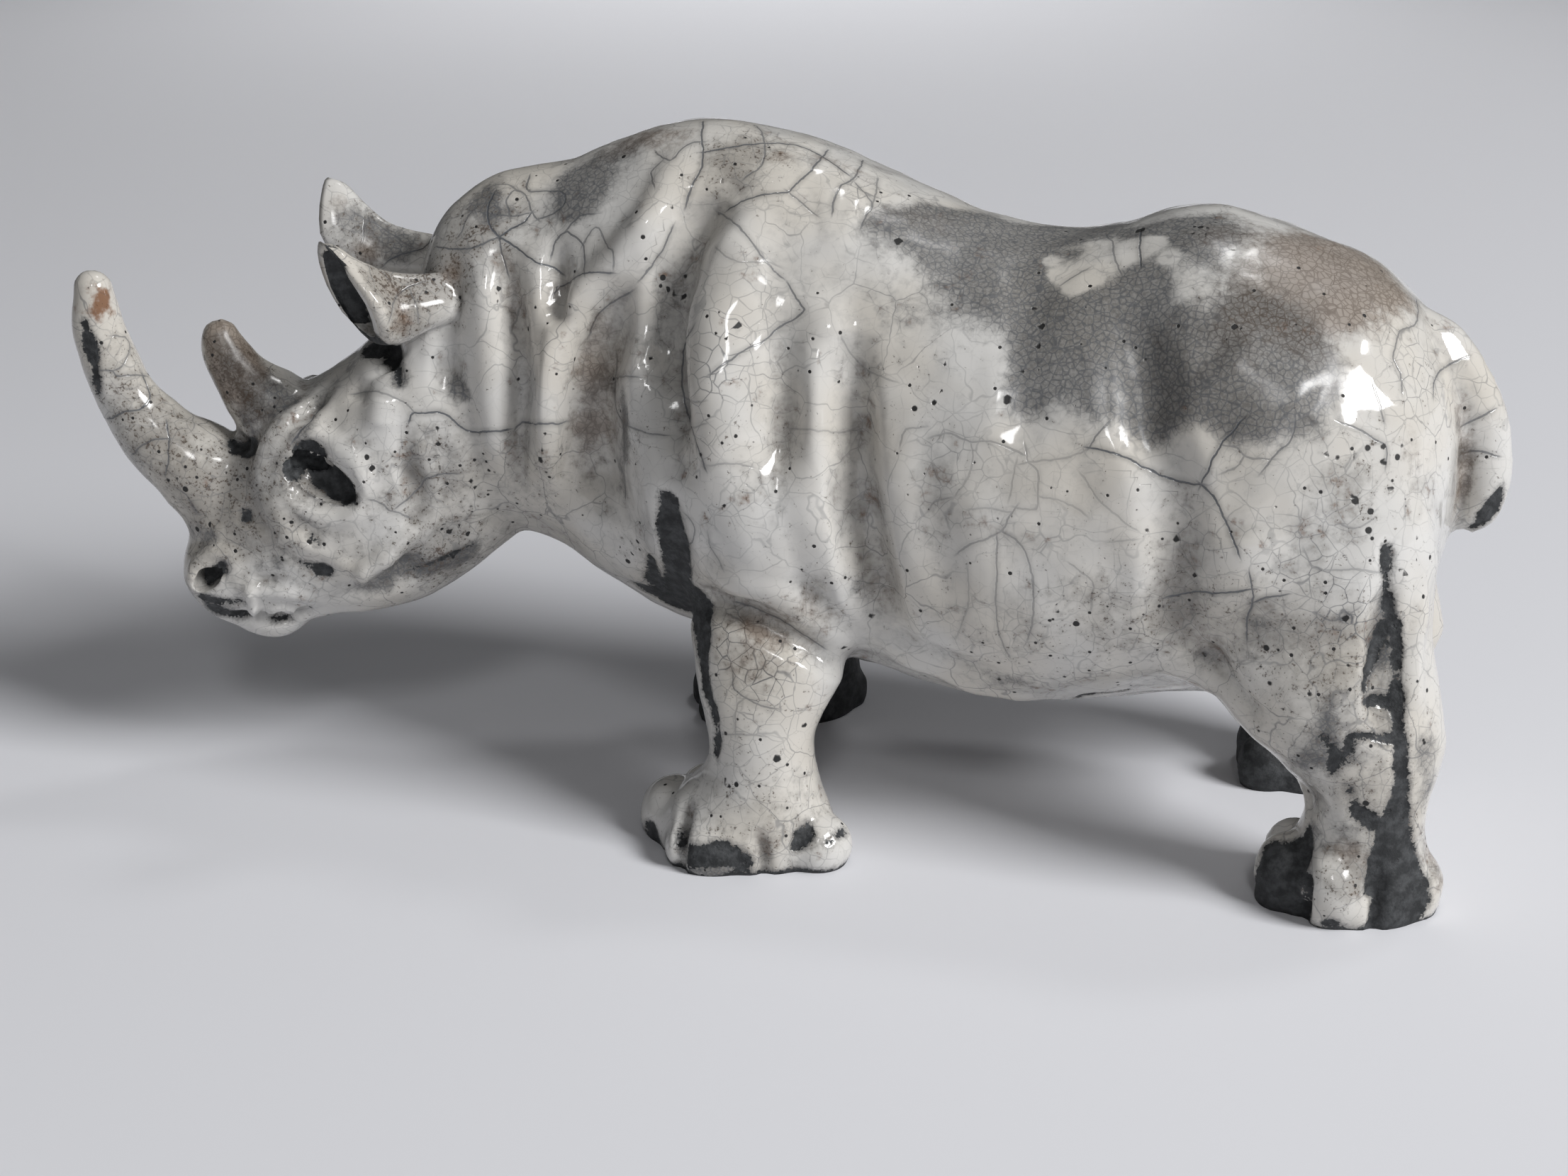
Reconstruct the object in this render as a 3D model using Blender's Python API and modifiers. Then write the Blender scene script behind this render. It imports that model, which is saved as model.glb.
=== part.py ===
"""Rhinoceros figurine: one fired piece of glazed clay that stands on its four feet.

The head looks towards -X and is turned a little to its left, which is -Y. Every form is written
in parts of about 1/320 of the figure's length, so LENGTH alone sets the size of the whole figure.
"""

import math

import bmesh
import bpy
import numpy as np
from mathutils import Euler, Matrix, Vector
from mathutils.bvhtree import BVHTree

LENGTH = 0.320  # metres, from the front horn to the tail

NODE = "rhinoceros"
RING = 40  # points round a loft
LOFT_STEPS = 6  # rings between two stations
TRUNK_SQUARENESS = 2.1  # of its sections, where 2 is an ellipse
HEAD_SQUARENESS = 2.2
VOXEL = 1.9
BODY_SMOOTHING = 14
DETAIL_SMOOTHING = 3
TRIANGLES = 7200  # of the figure before the hollows are cut
HOLLOW_TRIANGLES = 220

HEAD_PIVOT = (-62, 0)
HEAD_TURN = 18  # degrees, towards the figure's left

# Trunk and neck, from the rump forwards: x, middle y, underside, widest height, top, half width.
TRUNK = [
    (134, 0, 74, 87, 103, 10),
    (131, 0, 62, 86, 113, 22),
    (125, 0, 52, 86, 123.5, 33),
    (116, 0, 45, 85, 131.5, 41),
    (104, 0, 40, 84, 137, 46),
    (90, 0, 37, 83, 141.5, 48),
    (76, 0, 35, 81, 143.5, 48),
    (60, 0, 32, 79, 139, 49),
    (43, 0, 30, 77, 136.5, 49),
    (26, 0, 31, 78, 140, 47),
    (10, 0, 34, 80, 146.5, 44),
    (-8, 0, 38, 82, 153.5, 42),
    (-26, 0, 39, 85, 158, 38),
    (-41, 0, 42, 88, 157, 37),
    (-55, -1, 49, 92, 152, 33),
    (-66, -2, 56, 96, 147.5, 29),
    (-78, -5, 62, 100, 145.5, 26),
    (-90, -9, 74, 106, 139.5, 21),
    (-96, -11, 92, 110, 128, 14),
]

# Head, from the poll to the muzzle, in the head's own frame: forward distance from the pivot,
# middle, underside, widest height, top, half width.
HEAD = [
    (20, 0, 58, 94, 126, 21),
    (33, 0, 47, 88, 123, 23),
    (44, 0, 42, 80, 115, 24),
    (54, 0, 40.5, 74, 104, 23),
    (64, 0, 39.5, 70, 97, 20),
    (74, 0, 37.5, 64, 91, 17),
    (83, 0, 37, 58, 84, 14.5),
    (90, 0, 38, 54, 74, 12.5),
    (95, 0, 41.5, 52, 63, 10),
    (98, 0, 46, 51, 56, 6),
]

# Legs, from the sole up: height, x, y, half length, half width. The right legs mirror the left in y.
FRONT_LEG = [
    (-3, -15, 40, 20, 16),
    (5, -15, 40, 21, 17),
    (11, -14.5, 40, 19, 15.5),
    (17, -12, 40, 14, 13.5),
    (25, -11, 40, 11.5, 12),
    (33, -11, 39, 13.5, 12.5),
    (43, -10.5, 36, 17.5, 13.5),
    (55, -10, 32, 19.5, 14),
    (70, -9, 28, 20, 13),
    (90, -8, 24, 20, 11),
]
HIND_LEG = [
    (-3, 119, 34, 17, 14.5),
    (5, 119.5, 34, 18, 15),
    (11, 120.5, 34, 16, 13.5),
    (19, 121, 34, 13, 12.5),
    (26, 120.5, 34, 13.5, 12.5),
    (34, 118.5, 33.5, 17.5, 14),
    (41, 114, 33, 22, 16),
    (51, 109, 31, 25, 18),
    (66, 105, 28, 27, 18),
    (86, 103, 24, 27, 14),
]
# How far ahead and inwards each foot stands, fading to nothing at the last height.
LEFT_STEP = (0, 0, 1)
RIGHT_FRONT_STEP = (-12.5, 0, 60)
RIGHT_HIND_STEP = (-11, -4, 36)
RIGHT_TOES_REACH = 0.85  # of how far the left toes stand out from the middle of the foot

# Balls that fill out the body, for the left side: centre, half sizes, turn in degrees.
BODY_BALLS = [
    ((-18, -24, 98), (25, 23, 42), (-12, 14, 0)),
    ((-9, -31, 78), (17, 20, 25), (0, 10, 0)),
    ((103, -25, 80), (28, 22, 38), (-8, -12, 0)),
    ((128, -33, 39), (9, 9, 9), (0, 0, 0)),
]
FRONT_TOES = [
    ((-32, -38, 4.5), (8.5, 9, 9), (0, 0, 20)),
    ((-20, -51, 4), (11, 8.5, 8), (0, 0, 8)),
    ((2, -44, 3.5), (8.5, 8, 8), (0, 0, -20)),
    ((-27, -26, 4), (8, 7, 7.5), (0, 0, 0)),
]
HIND_TOES = [
    ((105, -37, 5), (6.5, 8, 10), (0, 0, 0)),
    ((115.5, -44.5, 7), (7.5, 7, 9.5), (0, 0, 0)),
    ((131, -34, 5), (8.5, 9, 10), (0, 0, 0)),
    ((107, -24, 5), (7, 6, 8.5), (0, 0, 0)),
]
# The same in the head's frame: forward, to the left, height.
HEAD_BALLS = [
    ((43, 14, 69), (14, 9, 15), (0, 0, 0)),
    ((47, 14, 89), (11, 7.5, 11), (0, 0, 0)),
    ((66, 11.5, 88), (9, 6, 7), (0, 20, 0)),
    ((91, 7.5, 52), (7, 5.5, 7.5), (0, 0, 0)),
    ((85, 6, 43.5), (8.5, 6, 5), (0, 0, 0)),
    ((78, 3, 38.5), (8.5, 6.5, 5), (0, 0, 0)),
]

# Ears in the head's frame, as rings across the way they open: forward, outwards, height, half
# width, half height. The rim is set back on the outer side and reaches forward at its tip.
EAR = [
    (27, 13, 117, 3, 3),
    (31, 15.5, 117.5, 5.5, 5.5),
    (37, 18, 117.5, 6.5, 6.5),
    (43, 20, 117, 6.2, 8),
    (48, 22, 118.5, 7, 10),
    (51, 23, 120.3, 7.4, 11.6),
    (53.5, 23.5, 121, 7, 11.8),
]
EAR_RING = 24
EAR_STEPS = 3
EAR_RIM_BACK = 0.8
EAR_TIP_AHEAD = 0.45
EAR_POINT = 0.5  # how much narrower the ear grows towards its tip
EAR_WALL = 1.8
EAR_FLOOR = 41
EAR_MOUTH = 3  # how far the hollow's cutter reaches out past the rim
EAR_TRIANGLES = 420
# How far each ear is set ahead and up, and tipped up about its root in degrees: left, right.
EAR_SETS = ((-0.5, 2, 0), (4.5, 2.5, 7))

# Front horn, rear horn and tail: points of x, y, z and radius, the horns' in the head's frame.
FRONT_HORN = [
    (86, 0, 66, 11),
    (92, 0, 75, 11.5),
    (100, 0, 82.5, 9.2),
    (106.5, 0, 91, 7.6),
    (110, 0, 99, 6.9),
    (112.2, 0, 107, 6.1),
    (112.8, 0, 115, 5.4),
    (113, 0, 121, 4.2),
    (113, 0, 123.5, 2),
]
REAR_HORN = [
    (72, 0, 84, 10.5),
    (75, 0, 90, 9.8),
    (79.5, 0, 95.5, 7.2),
    (83, 0, 101, 5.3),
    (85, 0, 106.5, 4),
    (85.6, 0, 110, 2.8),
    (85.8, 0, 111.5, 1.2),
]
TAIL = [
    (116, 0, 121, 6),
    (127, 0, 116, 6.5),
    (135, 0, 106, 6.5),
    (139, 0, 95, 6),
    (140, 0, 87, 5.8),
    (139, 0, 79.5, 5),
    (137, 0, 75.5, 2.5),
]

# Folds. Each is a half width, a height (a minus cuts in) and the points of its line as the left
# side shows it: x and height.
FOLD_STEPS = 5  # points between two of a line
FOLD_TAPER = 0.18  # the share of its line over which a fold fades out
FOLD_END_SHARE = 0.25  # of its height, left at its ends
BODY_FOLDS = [
    # Neck.
    (5, -2.5, [(-84, 124), (-86, 113), (-86, 100)]),
    (6, 2.0, [(-80, 131), (-77, 119), (-76, 103), (-75, 90), (-75, 80)]),
    (4.5, -3.5, [(-73, 129), (-70, 115), (-69, 103), (-70, 93), (-71, 80)]),
    (6, 2.0, [(-66, 131), (-64, 116), (-63, 104), (-63, 91), (-65, 76)]),
    (4, -2.5, [(-61, 132), (-60, 123), (-58, 116)]),
    (6, 3.0, [(-36, 151), (-40, 139), (-48, 129), (-55, 121), (-59, 111), (-60, 96), (-61, 82)]),
    (11, -6.5, [(-42, 128), (-49, 115), (-51, 101), (-51, 86), (-49, 70)]),
    (6.5, 3.5, [(-42, 114), (-41, 100), (-37, 88), (-33, 79)]),
    (8.5, -6.5, [(-23, 145), (-29, 139), (-33, 128), (-34, 116), (-31, 105), (-28, 94)]),
    # Shoulder and upper arm.
    (12, 3.5, [(-12, 142), (-19, 136), (-21, 124), (-20, 112), (-18, 98), (-17, 85), (-18, 74)]),
    (5.5, -1.8, [(-7, 122), (-5, 106), (-5, 92)]),
    (8, 3.5, [(-1, 124), (1, 106), (2, 88), (4, 75), (7, 64), (8, 56)]),
    (7.5, -6.0, [(8, 116), (9, 102), (11, 88), (13, 76), (15, 66), (18, 56)]),
    (5, -3.5, [(-27, 59), (-20, 59), (-13, 58), (-6, 55), (0, 52), (4, 49), (8, 45)]),
    (6, 1.5, [(-24, 66), (-13, 65), (-3, 62), (5, 56)]),
    (6, -2.0, [(-31, 84), (-29, 72), (-30, 62)]),
    # Flank and ribs.
    (9, 1.6, [(18, 98), (21, 80), (25, 64)]),
    (6, -1.3, [(26, 102), (28, 84), (32, 68)]),
    (8, 1.1, [(35, 94), (37, 78), (39, 66)]),
    (8, -2.4, [(44, 132), (46, 118), (48, 98)]),
    (8, -2.0, [(57, 130), (58, 111), (59, 92)]),
    (6.5, -4.8, [(68, 129), (70, 118), (72, 107), (76, 97), (78, 86), (79, 74), (81, 64), (85, 57)]),
    (14, 2.2, [(84, 122), (93, 116), (102, 110)]),
    (13, 2.0, [(91, 88), (95, 72)]),
    (5, 1.3, [(14, 48), (26, 44), (38, 39), (52, 38)]),
    (4.5, -1.2, [(17, 54), (28, 51), (41, 46)]),
    # Hind leg.
    (5, -2.2, [(84, 59), (91, 52), (99, 44)]),
    (6, 1.5, [(79, 54), (87, 46)]),
    (5, -2.0, [(121, 82), (121, 66), (122, 54), (124, 44)]),
    (4.5, 1.5, [(129, 74), (128, 60), (129, 48)]),
    (7, -2.0, [(110, 30), (108, 24)]),
    # Feet.
    (2.6, -2.6, [(-26, 13), (-26, 6), (-26, -1)]),
    (2.6, -2.0, [(-8, 10), (-7, 4), (-7, -1)]),
    (2.6, -2.6, [(110, 14), (110, 6), (110, -1)]),
    (2.6, -2.0, [(125, 13), (125, 5), (125, -1)]),
]
HEAD_FOLDS = [
    (6, 2.0, [(73, 90), (74, 82), (73, 72), (68, 65), (60, 62)]),
    (3.5, -1.6, [(60, 98), (66, 92), (70, 85)]),
    (3.5, 1.8, [(70, 88), (63, 89), (56, 84), (51, 77)]),
    (3.5, 1.4, [(71, 74), (64, 70), (57, 70), (52, 73)]),
    (4, -2.0, [(42, 84), (40, 74), (42, 66)]),
    (5, 1.5, [(46, 62), (52, 57), (57, 55)]),
    (5, -1.6, [(40, 58), (50, 52), (60, 50)]),
    (3.4, -3.0, [(87, 42), (80, 41.5), (73, 42), (67, 44)]),
    (3.5, -1.4, [(80, 52), (74, 53)]),
    (7, -4.0, [(49, 109), (45, 104)]),
    (4, -1.6, [(55, 98), (50, 99)]),
]
# The hidden side is the same but plainer.
RIGHT_SIDE_SHARE = 0.75
# The cleft between the buttocks, seen from behind: y and height.
CLEFT = (6, -5, [(0, 70), (0, 56)])

# Outside the figure, where the rays start that lay the folds on its surface.
OUTSIDE = 300

# Hollows cut into the head, left side, in its frame: centre, half sizes, turn in degrees.
EYE_SOCKET = ((63, 20.5, 79.5), (9.4, 5, 4.6), (0, -29, -12))
EYE_HOLE = ((65.5, 17.5, 82), (5, 5, 2.2), (0, -18, -12))
NOSTRIL = ((91.5, 12.5, 52), (4.4, 5, 2.8), (0, 35, 0))
HORN_VENT = ((82.5, 7, 84), (3, 5, 2.8), (0, 0, 0))

# The block under the feet that cuts the soles flat.
GROUND = (600, 300, 40)


def clear_scene():
    for obj in list(bpy.data.objects):
        bpy.data.objects.remove(obj)


def collection(name):
    made = bpy.data.collections.new(name)
    bpy.context.scene.collection.children.link(made)
    return made


def new_object(name, mesh):
    obj = bpy.data.objects.new(name, mesh)
    bpy.context.scene.collection.objects.link(obj)
    return obj


def smooth_rows(rows, steps):
    """The rows with steps more rows between each two, on a Catmull-Rom curve."""
    table = np.array(rows, float)
    padded = np.vstack([2 * table[0] - table[1], table, 2 * table[-1] - table[-2]])
    found = []
    for i in range(1, len(table)):
        before, start, end, after = padded[i - 1 : i + 3]
        for t in np.linspace(0, 1, steps, endpoint=False):
            found.append(
                0.5
                * (
                    2 * start
                    + (end - before) * t
                    + (2 * before - 5 * start + 4 * end - after) * t**2
                    + (3 * start - before - 3 * end + after) * t**3
                )
            )
    found.append(table[-1])
    return np.array(found)


def loft(name, rings):
    """A closed body through rings of points, with a point in the middle of each end."""
    mesh = bmesh.new()
    made = [[mesh.verts.new(point) for point in ring] for ring in rings]
    count = len(made[0])
    for first, second in zip(made, made[1:]):
        for i in range(count):
            j = (i + 1) % count
            mesh.faces.new((first[i], first[j], second[j], second[i]))
    for ring in (made[0], made[-1]):
        middle = mesh.verts.new(sum((v.co for v in ring), Vector()) / count)
        for i in range(count):
            mesh.faces.new((ring[i], ring[(i + 1) % count], middle))
    bmesh.ops.recalc_face_normals(mesh, faces=mesh.faces)
    data = bpy.data.meshes.new(name)
    mesh.to_mesh(data)
    mesh.free()
    return new_object(name, data)


def rounded(angle, power):
    """Cosine and sine of the angle, squared off by the power: 2 is a circle."""
    c, s = math.cos(angle), math.sin(angle)
    return (
        math.copysign(abs(c) ** (2 / power), c),
        math.copysign(abs(s) ** (2 / power), s),
    )


def upright_rings(rows, power):
    """Rings across X, one for each row of a trunk or head table."""
    for x, middle, low, widest, top, half_width in smooth_rows(rows, LOFT_STEPS):
        ring = []
        for i in range(RING):
            across, up = rounded(2 * math.pi * i / RING, power)
            reach = top - widest if up > 0 else widest - low
            ring.append((x, middle + half_width * across, widest + reach * up))
        yield ring


def level_rings(rows, side, step):
    """Rings across Z, one for each row of a leg table."""
    ahead, outwards, fades_at = step
    for z, x, y, half_length, half_width in smooth_rows(rows, LOFT_STEPS):
        share = min(1, max(0, 1 - z / fades_at))
        yield [
            (
                x + ahead * share + half_length * math.cos(2 * math.pi * i / RING),
                side * (y + outwards * share + half_width * math.sin(2 * math.pi * i / RING)),
                z,
            )
            for i in range(RING)
        ]


def ellipsoid(name, centre, radii, turn=(0, 0, 0)):
    """A ball with three half sizes, turned by angles in degrees."""
    bpy.ops.mesh.primitive_uv_sphere_add(segments=32, ring_count=16, radius=1)
    obj = bpy.context.object
    obj.name = name
    turned = Euler([math.radians(a) for a in turn]).to_matrix().to_4x4()
    obj.data.transform(Matrix.Translation(centre) @ turned @ Matrix.Diagonal((*radii, 1)))
    return obj


def tapered_tube(name, points):
    """A round tube through points of x, y, z and radius, with closed ends."""
    data = bpy.data.curves.new(name, "CURVE")
    data.dimensions = "3D"
    data.bevel_depth = 1
    data.bevel_resolution = 6
    data.resolution_u = 10
    data.use_fill_caps = True
    spline = data.splines.new("BEZIER")
    spline.bezier_points.add(len(points) - 1)
    for point, (x, y, z, radius) in zip(spline.bezier_points, points):
        point.co = (x, y, z)
        point.radius = radius
        point.handle_left_type = point.handle_right_type = "AUTO"
    curve = new_object(name, data)
    mesh = evaluated_mesh(curve)
    bpy.data.objects.remove(curve)
    welded = bmesh.new()
    welded.from_mesh(mesh)
    bmesh.ops.remove_doubles(welded, verts=welded.verts, dist=1e-4)
    welded.to_mesh(mesh)
    welded.free()
    return new_object(name, mesh)


def evaluated_mesh(obj):
    """The object's mesh with its modifiers applied."""
    bpy.context.view_layer.update()
    graph = bpy.context.evaluated_depsgraph_get()
    return bpy.data.meshes.new_from_object(obj.evaluated_get(graph))


def fuse(name, pieces, voxel, smoothing):
    """The pieces as one skin: joined, remeshed on a grid, and smoothed."""
    joined = bmesh.new()
    for piece in pieces:
        joined.from_mesh(piece.data)
        bpy.data.objects.remove(piece)
    data = bpy.data.meshes.new(name)
    joined.to_mesh(data)
    joined.free()
    obj = new_object(name, data)
    remesh = obj.modifiers.new("Skin", "REMESH")
    remesh.mode = "VOXEL"
    remesh.voxel_size = voxel
    smooth = obj.modifiers.new("Soften", "SMOOTH")
    smooth.factor = 0.5
    smooth.iterations = smoothing
    obj.data = evaluated_mesh(obj)
    obj.modifiers.clear()
    return obj


def head_frame():
    """The matrix from the head's own frame, forward along +X, to the figure's."""
    turned = Matrix.Rotation(math.radians(180 + HEAD_TURN), 4, "Z")
    return Matrix.Translation((*HEAD_PIVOT, 0)) @ turned


def mirrored(ball):
    centre, radii, turn = ball
    return (centre[0], -centre[1], centre[2]), radii, (-turn[0], turn[1], -turn[2])


def body_masses():
    """The large forms, which run softly into each other."""
    pieces = [loft("trunk", upright_rings(TRUNK, TRUNK_SQUARENESS))]
    head_pieces = [loft("head", upright_rings(HEAD, HEAD_SQUARENESS))]
    for ball in HEAD_BALLS:
        head_pieces.append(ellipsoid("head_ball", *ball))
        head_pieces.append(ellipsoid("head_ball", *mirrored(ball)))
    for piece in head_pieces:
        piece.data.transform(head_frame())
    pieces += head_pieces
    for side, front_step, hind_step in (
        (-1, LEFT_STEP, LEFT_STEP),
        (1, RIGHT_FRONT_STEP, RIGHT_HIND_STEP),
    ):
        pieces.append(loft("front_leg", level_rings(FRONT_LEG, side, front_step)))
        pieces.append(loft("hind_leg", level_rings(HIND_LEG, side, hind_step)))
    for ball in BODY_BALLS:
        pieces.append(ellipsoid("body_ball", *ball))
        pieces.append(ellipsoid("body_ball", *mirrored(ball)))
    return pieces


def toe_pieces():
    pieces = []
    for toes, leg, step in (
        (FRONT_TOES, FRONT_LEG, RIGHT_FRONT_STEP),
        (HIND_TOES, HIND_LEG, RIGHT_HIND_STEP),
    ):
        middle = leg[0][1]
        for toe in toes:
            pieces.append(ellipsoid("toe", *toe))
            (x, y, z), radii, turn = mirrored(toe)
            x = middle + RIGHT_TOES_REACH * (x - middle) + step[0]
            pieces.append(ellipsoid("toe", (x, y + step[1], z), radii, turn))
    return pieces


def ear_rings(side, wall, floor):
    """Rings of an ear, inside by the wall; those before the floor are left out."""
    rows = smooth_rows(EAR, EAR_STEPS)
    for ahead, outwards, height, half_width, half_height in rows[rows[:, 0] >= floor]:
        ring = []
        for i in range(EAR_RING):
            angle = 2 * math.pi * i / EAR_RING
            across = (half_width - wall) * math.cos(angle)
            across *= 1 - EAR_POINT * max(0, math.sin(angle))
            up = (half_height - 1.2 * wall) * math.sin(angle)
            slant = EAR_TIP_AHEAD * up - EAR_RIM_BACK * across
            slant += EAR_MOUTH if wall else 0
            share = min(1, (ahead - EAR[0][0]) / (EAR[-1][0] - EAR[0][0])) ** 2
            ring.append((ahead + slant * share, -side * (outwards + across), height + up))
        yield ring


def ears(wall, floor):
    """Both ears in the figure's frame, smaller all round by the wall and cut off at the floor."""
    pieces = []
    for side, (ahead, up, tip) in zip((-1, 1), EAR_SETS):
        ear = loft("ear", ear_rings(side, wall, floor))
        root = Matrix.Translation((EAR[0][0], -side * EAR[0][1], EAR[0][2]))
        tipped = root @ Matrix.Rotation(math.radians(-tip), 4, "Y") @ root.inverted()
        ear.data.transform(head_frame() @ Matrix.Translation((ahead, 0, up)) @ tipped)
        pieces.append(ear)
    return pieces


def horn_and_tail_pieces():
    horns = [tapered_tube("front_horn", FRONT_HORN), tapered_tube("rear_horn", REAR_HORN)]
    for horn in horns:
        horn.data.transform(head_frame())
    return [*horns, tapered_tube("tail", TAIL)]


def surface_line(tree, to_figure, points, origin, direction):
    """The line laid on the surface: each point moved along the direction until it meets it."""
    found = []
    for across, height in smooth_rows(points, FOLD_STEPS):
        start = to_figure @ Vector(origin(across, height))
        hit = tree.ray_cast(start, to_figure.to_3x3() @ Vector(direction))[0]
        if hit is not None:
            found.append(hit)
    return np.array(found)


def fold_height(places, line, half_width, height):
    """How far each place rises for one fold: full on its line, nothing at its half width."""
    rise = np.zeros(len(places))
    low, high = line.min(0) - half_width, line.max(0) + half_width
    near = np.flatnonzero(((places > low) & (places < high)).all(1))
    if not len(near) or len(line) < 2:
        return rise
    start, along = line[:-1], np.diff(line, axis=0)
    long = np.maximum((along**2).sum(1), 1e-9)
    to_place = places[near][:, None] - start[None]
    share = np.clip((to_place * along).sum(2) / long, 0, 1)
    apart = np.linalg.norm(to_place - share[..., None] * along, axis=2)
    nearest = apart.argmin(1)
    rows = np.arange(len(near))
    done = (nearest + share[rows, nearest]) / len(along)
    taper = np.clip(np.minimum(done, 1 - done) / FOLD_TAPER, 0, 1)
    inside = np.clip(1 - (apart[rows, nearest] / half_width) ** 2, 0, 1) ** 2
    rise[near] = height * inside * (FOLD_END_SHARE + (1 - FOLD_END_SHARE) * taper)
    return rise


def raise_folds(obj):
    mesh = obj.data
    count = len(mesh.vertices)
    places = np.empty(count * 3, np.float32)
    mesh.vertices.foreach_get("co", places)
    places = places.reshape(-1, 3).astype(float)
    normals = np.empty(count * 3, np.float32)
    mesh.vertex_normals.foreach_get("vector", normals)
    normals = normals.reshape(-1, 3)
    tree = BVHTree.FromPolygons([v.co for v in mesh.vertices], [p.vertices for p in mesh.polygons])
    rise = np.zeros(count)
    # The left side is -Y in the figure's frame and +Y in the head's.
    for folds, to_figure, left in (
        (BODY_FOLDS, Matrix.Identity(4), -1),
        (HEAD_FOLDS, head_frame(), 1),
    ):
        for half_width, height, points in folds:
            for side, share in ((left, 1), (-left, RIGHT_SIDE_SHARE)):
                line = surface_line(
                    tree,
                    to_figure,
                    points,
                    lambda x, z, side=side: (x, side * OUTSIDE, z),
                    (0, -side, 0),
                )
                if len(line):
                    rise += fold_height(places, line, half_width, height * share)
    half_width, height, points = CLEFT
    line = surface_line(tree, Matrix.Identity(4), points, lambda y, z: (OUTSIDE, y, z), (-1, 0, 0))
    rise += fold_height(places, line, half_width, height)
    places += normals * rise[:, None]
    mesh.vertices.foreach_set("co", places.astype(np.float32).ravel())
    mesh.update()


def hollows():
    """Cutters for the eyes, nostrils, ears and the small vent, in the figure's frame."""
    cutters = []
    for ball in (EYE_SOCKET, EYE_HOLE, NOSTRIL):
        cutters.append(ellipsoid("hollow", *ball))
        cutters.append(ellipsoid("hollow", *mirrored(ball)))
    cutters.append(ellipsoid("hollow", *HORN_VENT))
    for cutter in cutters:
        cutter.data.transform(head_frame())
    return cutters + ears(EAR_WALL, EAR_FLOOR)


def boolean(obj, other, operation):
    modifier = obj.modifiers.new("Boolean", "BOOLEAN")
    modifier.operation = operation
    modifier.solver = "EXACT"
    modifier.object = other
    obj.data = evaluated_mesh(obj)
    obj.modifiers.clear()
    bpy.data.objects.remove(other)


def thin_out(obj, triangles):
    """Fewer triangles, more of them left where the form turns sharply."""
    obj.data.calc_loop_triangles()
    decimate = obj.modifiers.new("Thin", "DECIMATE")
    decimate.ratio = triangles / len(obj.data.loop_triangles)
    decimate.use_collapse_triangulate = True
    obj.data = evaluated_mesh(obj)
    obj.modifiers.clear()


def build_sculpture():
    body = fuse("body", body_masses(), VOXEL, BODY_SMOOTHING)
    pieces = [body, *toe_pieces(), *horn_and_tail_pieces()]
    figure = fuse(NODE, pieces, VOXEL, DETAIL_SMOOTHING)
    raise_folds(figure)
    thin_out(figure, TRIANGLES)
    for ear in ears(0, 0):
        thin_out(ear, EAR_TRIANGLES)
        boolean(figure, ear, "UNION")
    for cutter in hollows():
        thin_out(cutter, HOLLOW_TRIANGLES)
        boolean(figure, cutter, "DIFFERENCE")
    return figure


def glazed_clay():
    material = bpy.data.materials.new("Crackled white glaze")
    material.use_nodes = True
    surface = material.node_tree.nodes["Principled BSDF"]
    surface.inputs["Base Color"].default_value = (0.62, 0.59, 0.55, 1)
    surface.inputs["Roughness"].default_value = 0.25
    return material


def place(obj):
    """Stands the figure with the middle of its underside on the origin, at its true length."""
    corners = np.array(obj.bound_box)
    low, high = corners.min(0), corners.max(0)
    middle = Vector(((low[0] + high[0]) / 2, (low[1] + high[1]) / 2, 0))
    scale = LENGTH / (high[0] - low[0])
    obj.data.transform(Matrix.Scale(scale, 4) @ Matrix.Translation(-middle))


def cut_soles(obj):
    """Cuts off flat what reaches below the ground."""
    bpy.ops.mesh.primitive_cube_add(size=1)
    ground = bpy.context.object
    ground.data.transform(Matrix.Translation((0, 0, -GROUND[2] / 2)) @ Matrix.Diagonal((*GROUND, 1)))
    boolean(obj, ground, "DIFFERENCE")


def main():
    clear_scene()
    figure = build_sculpture()
    cut_soles(figure)
    place(figure)
    figure.data.materials.clear()
    figure.data.materials.append(glazed_clay())
    bpy.context.scene.collection.objects.unlink(figure)
    collection("Rhinoceros figurine").objects.link(figure)


main()
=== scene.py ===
"""Rhinoceros figurine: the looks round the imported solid.

The figure is one piece of fired clay under a crackled white glaze, smoked black in its cracks and
wherever the clay is bare. The sculpture repeats the solid's forms on a finer grid, in parts of about
1/320 of its length, and then stands in the solid's own box. Marks on its surface, such as cracks
and bare patches, are placed by pixels of the photograph through the scene's camera.
"""

import math
from types import SimpleNamespace

import bmesh
import bpy
import numpy as np
from mathutils import Euler, Matrix, Vector, noise
from mathutils.bvhtree import BVHTree


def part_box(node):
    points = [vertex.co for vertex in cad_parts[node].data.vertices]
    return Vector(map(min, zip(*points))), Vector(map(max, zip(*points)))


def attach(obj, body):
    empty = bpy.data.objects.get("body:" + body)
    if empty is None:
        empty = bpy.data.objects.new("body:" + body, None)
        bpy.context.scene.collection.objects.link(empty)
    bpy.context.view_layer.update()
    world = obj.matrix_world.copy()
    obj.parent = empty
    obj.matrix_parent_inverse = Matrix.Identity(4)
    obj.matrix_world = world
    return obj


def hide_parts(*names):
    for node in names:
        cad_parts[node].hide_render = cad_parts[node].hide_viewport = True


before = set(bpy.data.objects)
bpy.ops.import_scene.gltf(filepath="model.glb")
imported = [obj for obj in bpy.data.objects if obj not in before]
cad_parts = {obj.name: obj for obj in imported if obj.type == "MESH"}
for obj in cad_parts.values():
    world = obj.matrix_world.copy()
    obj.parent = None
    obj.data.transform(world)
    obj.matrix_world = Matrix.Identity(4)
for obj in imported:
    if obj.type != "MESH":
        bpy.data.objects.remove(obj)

NODE = "rhinoceros"
MM = 0.001

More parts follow.
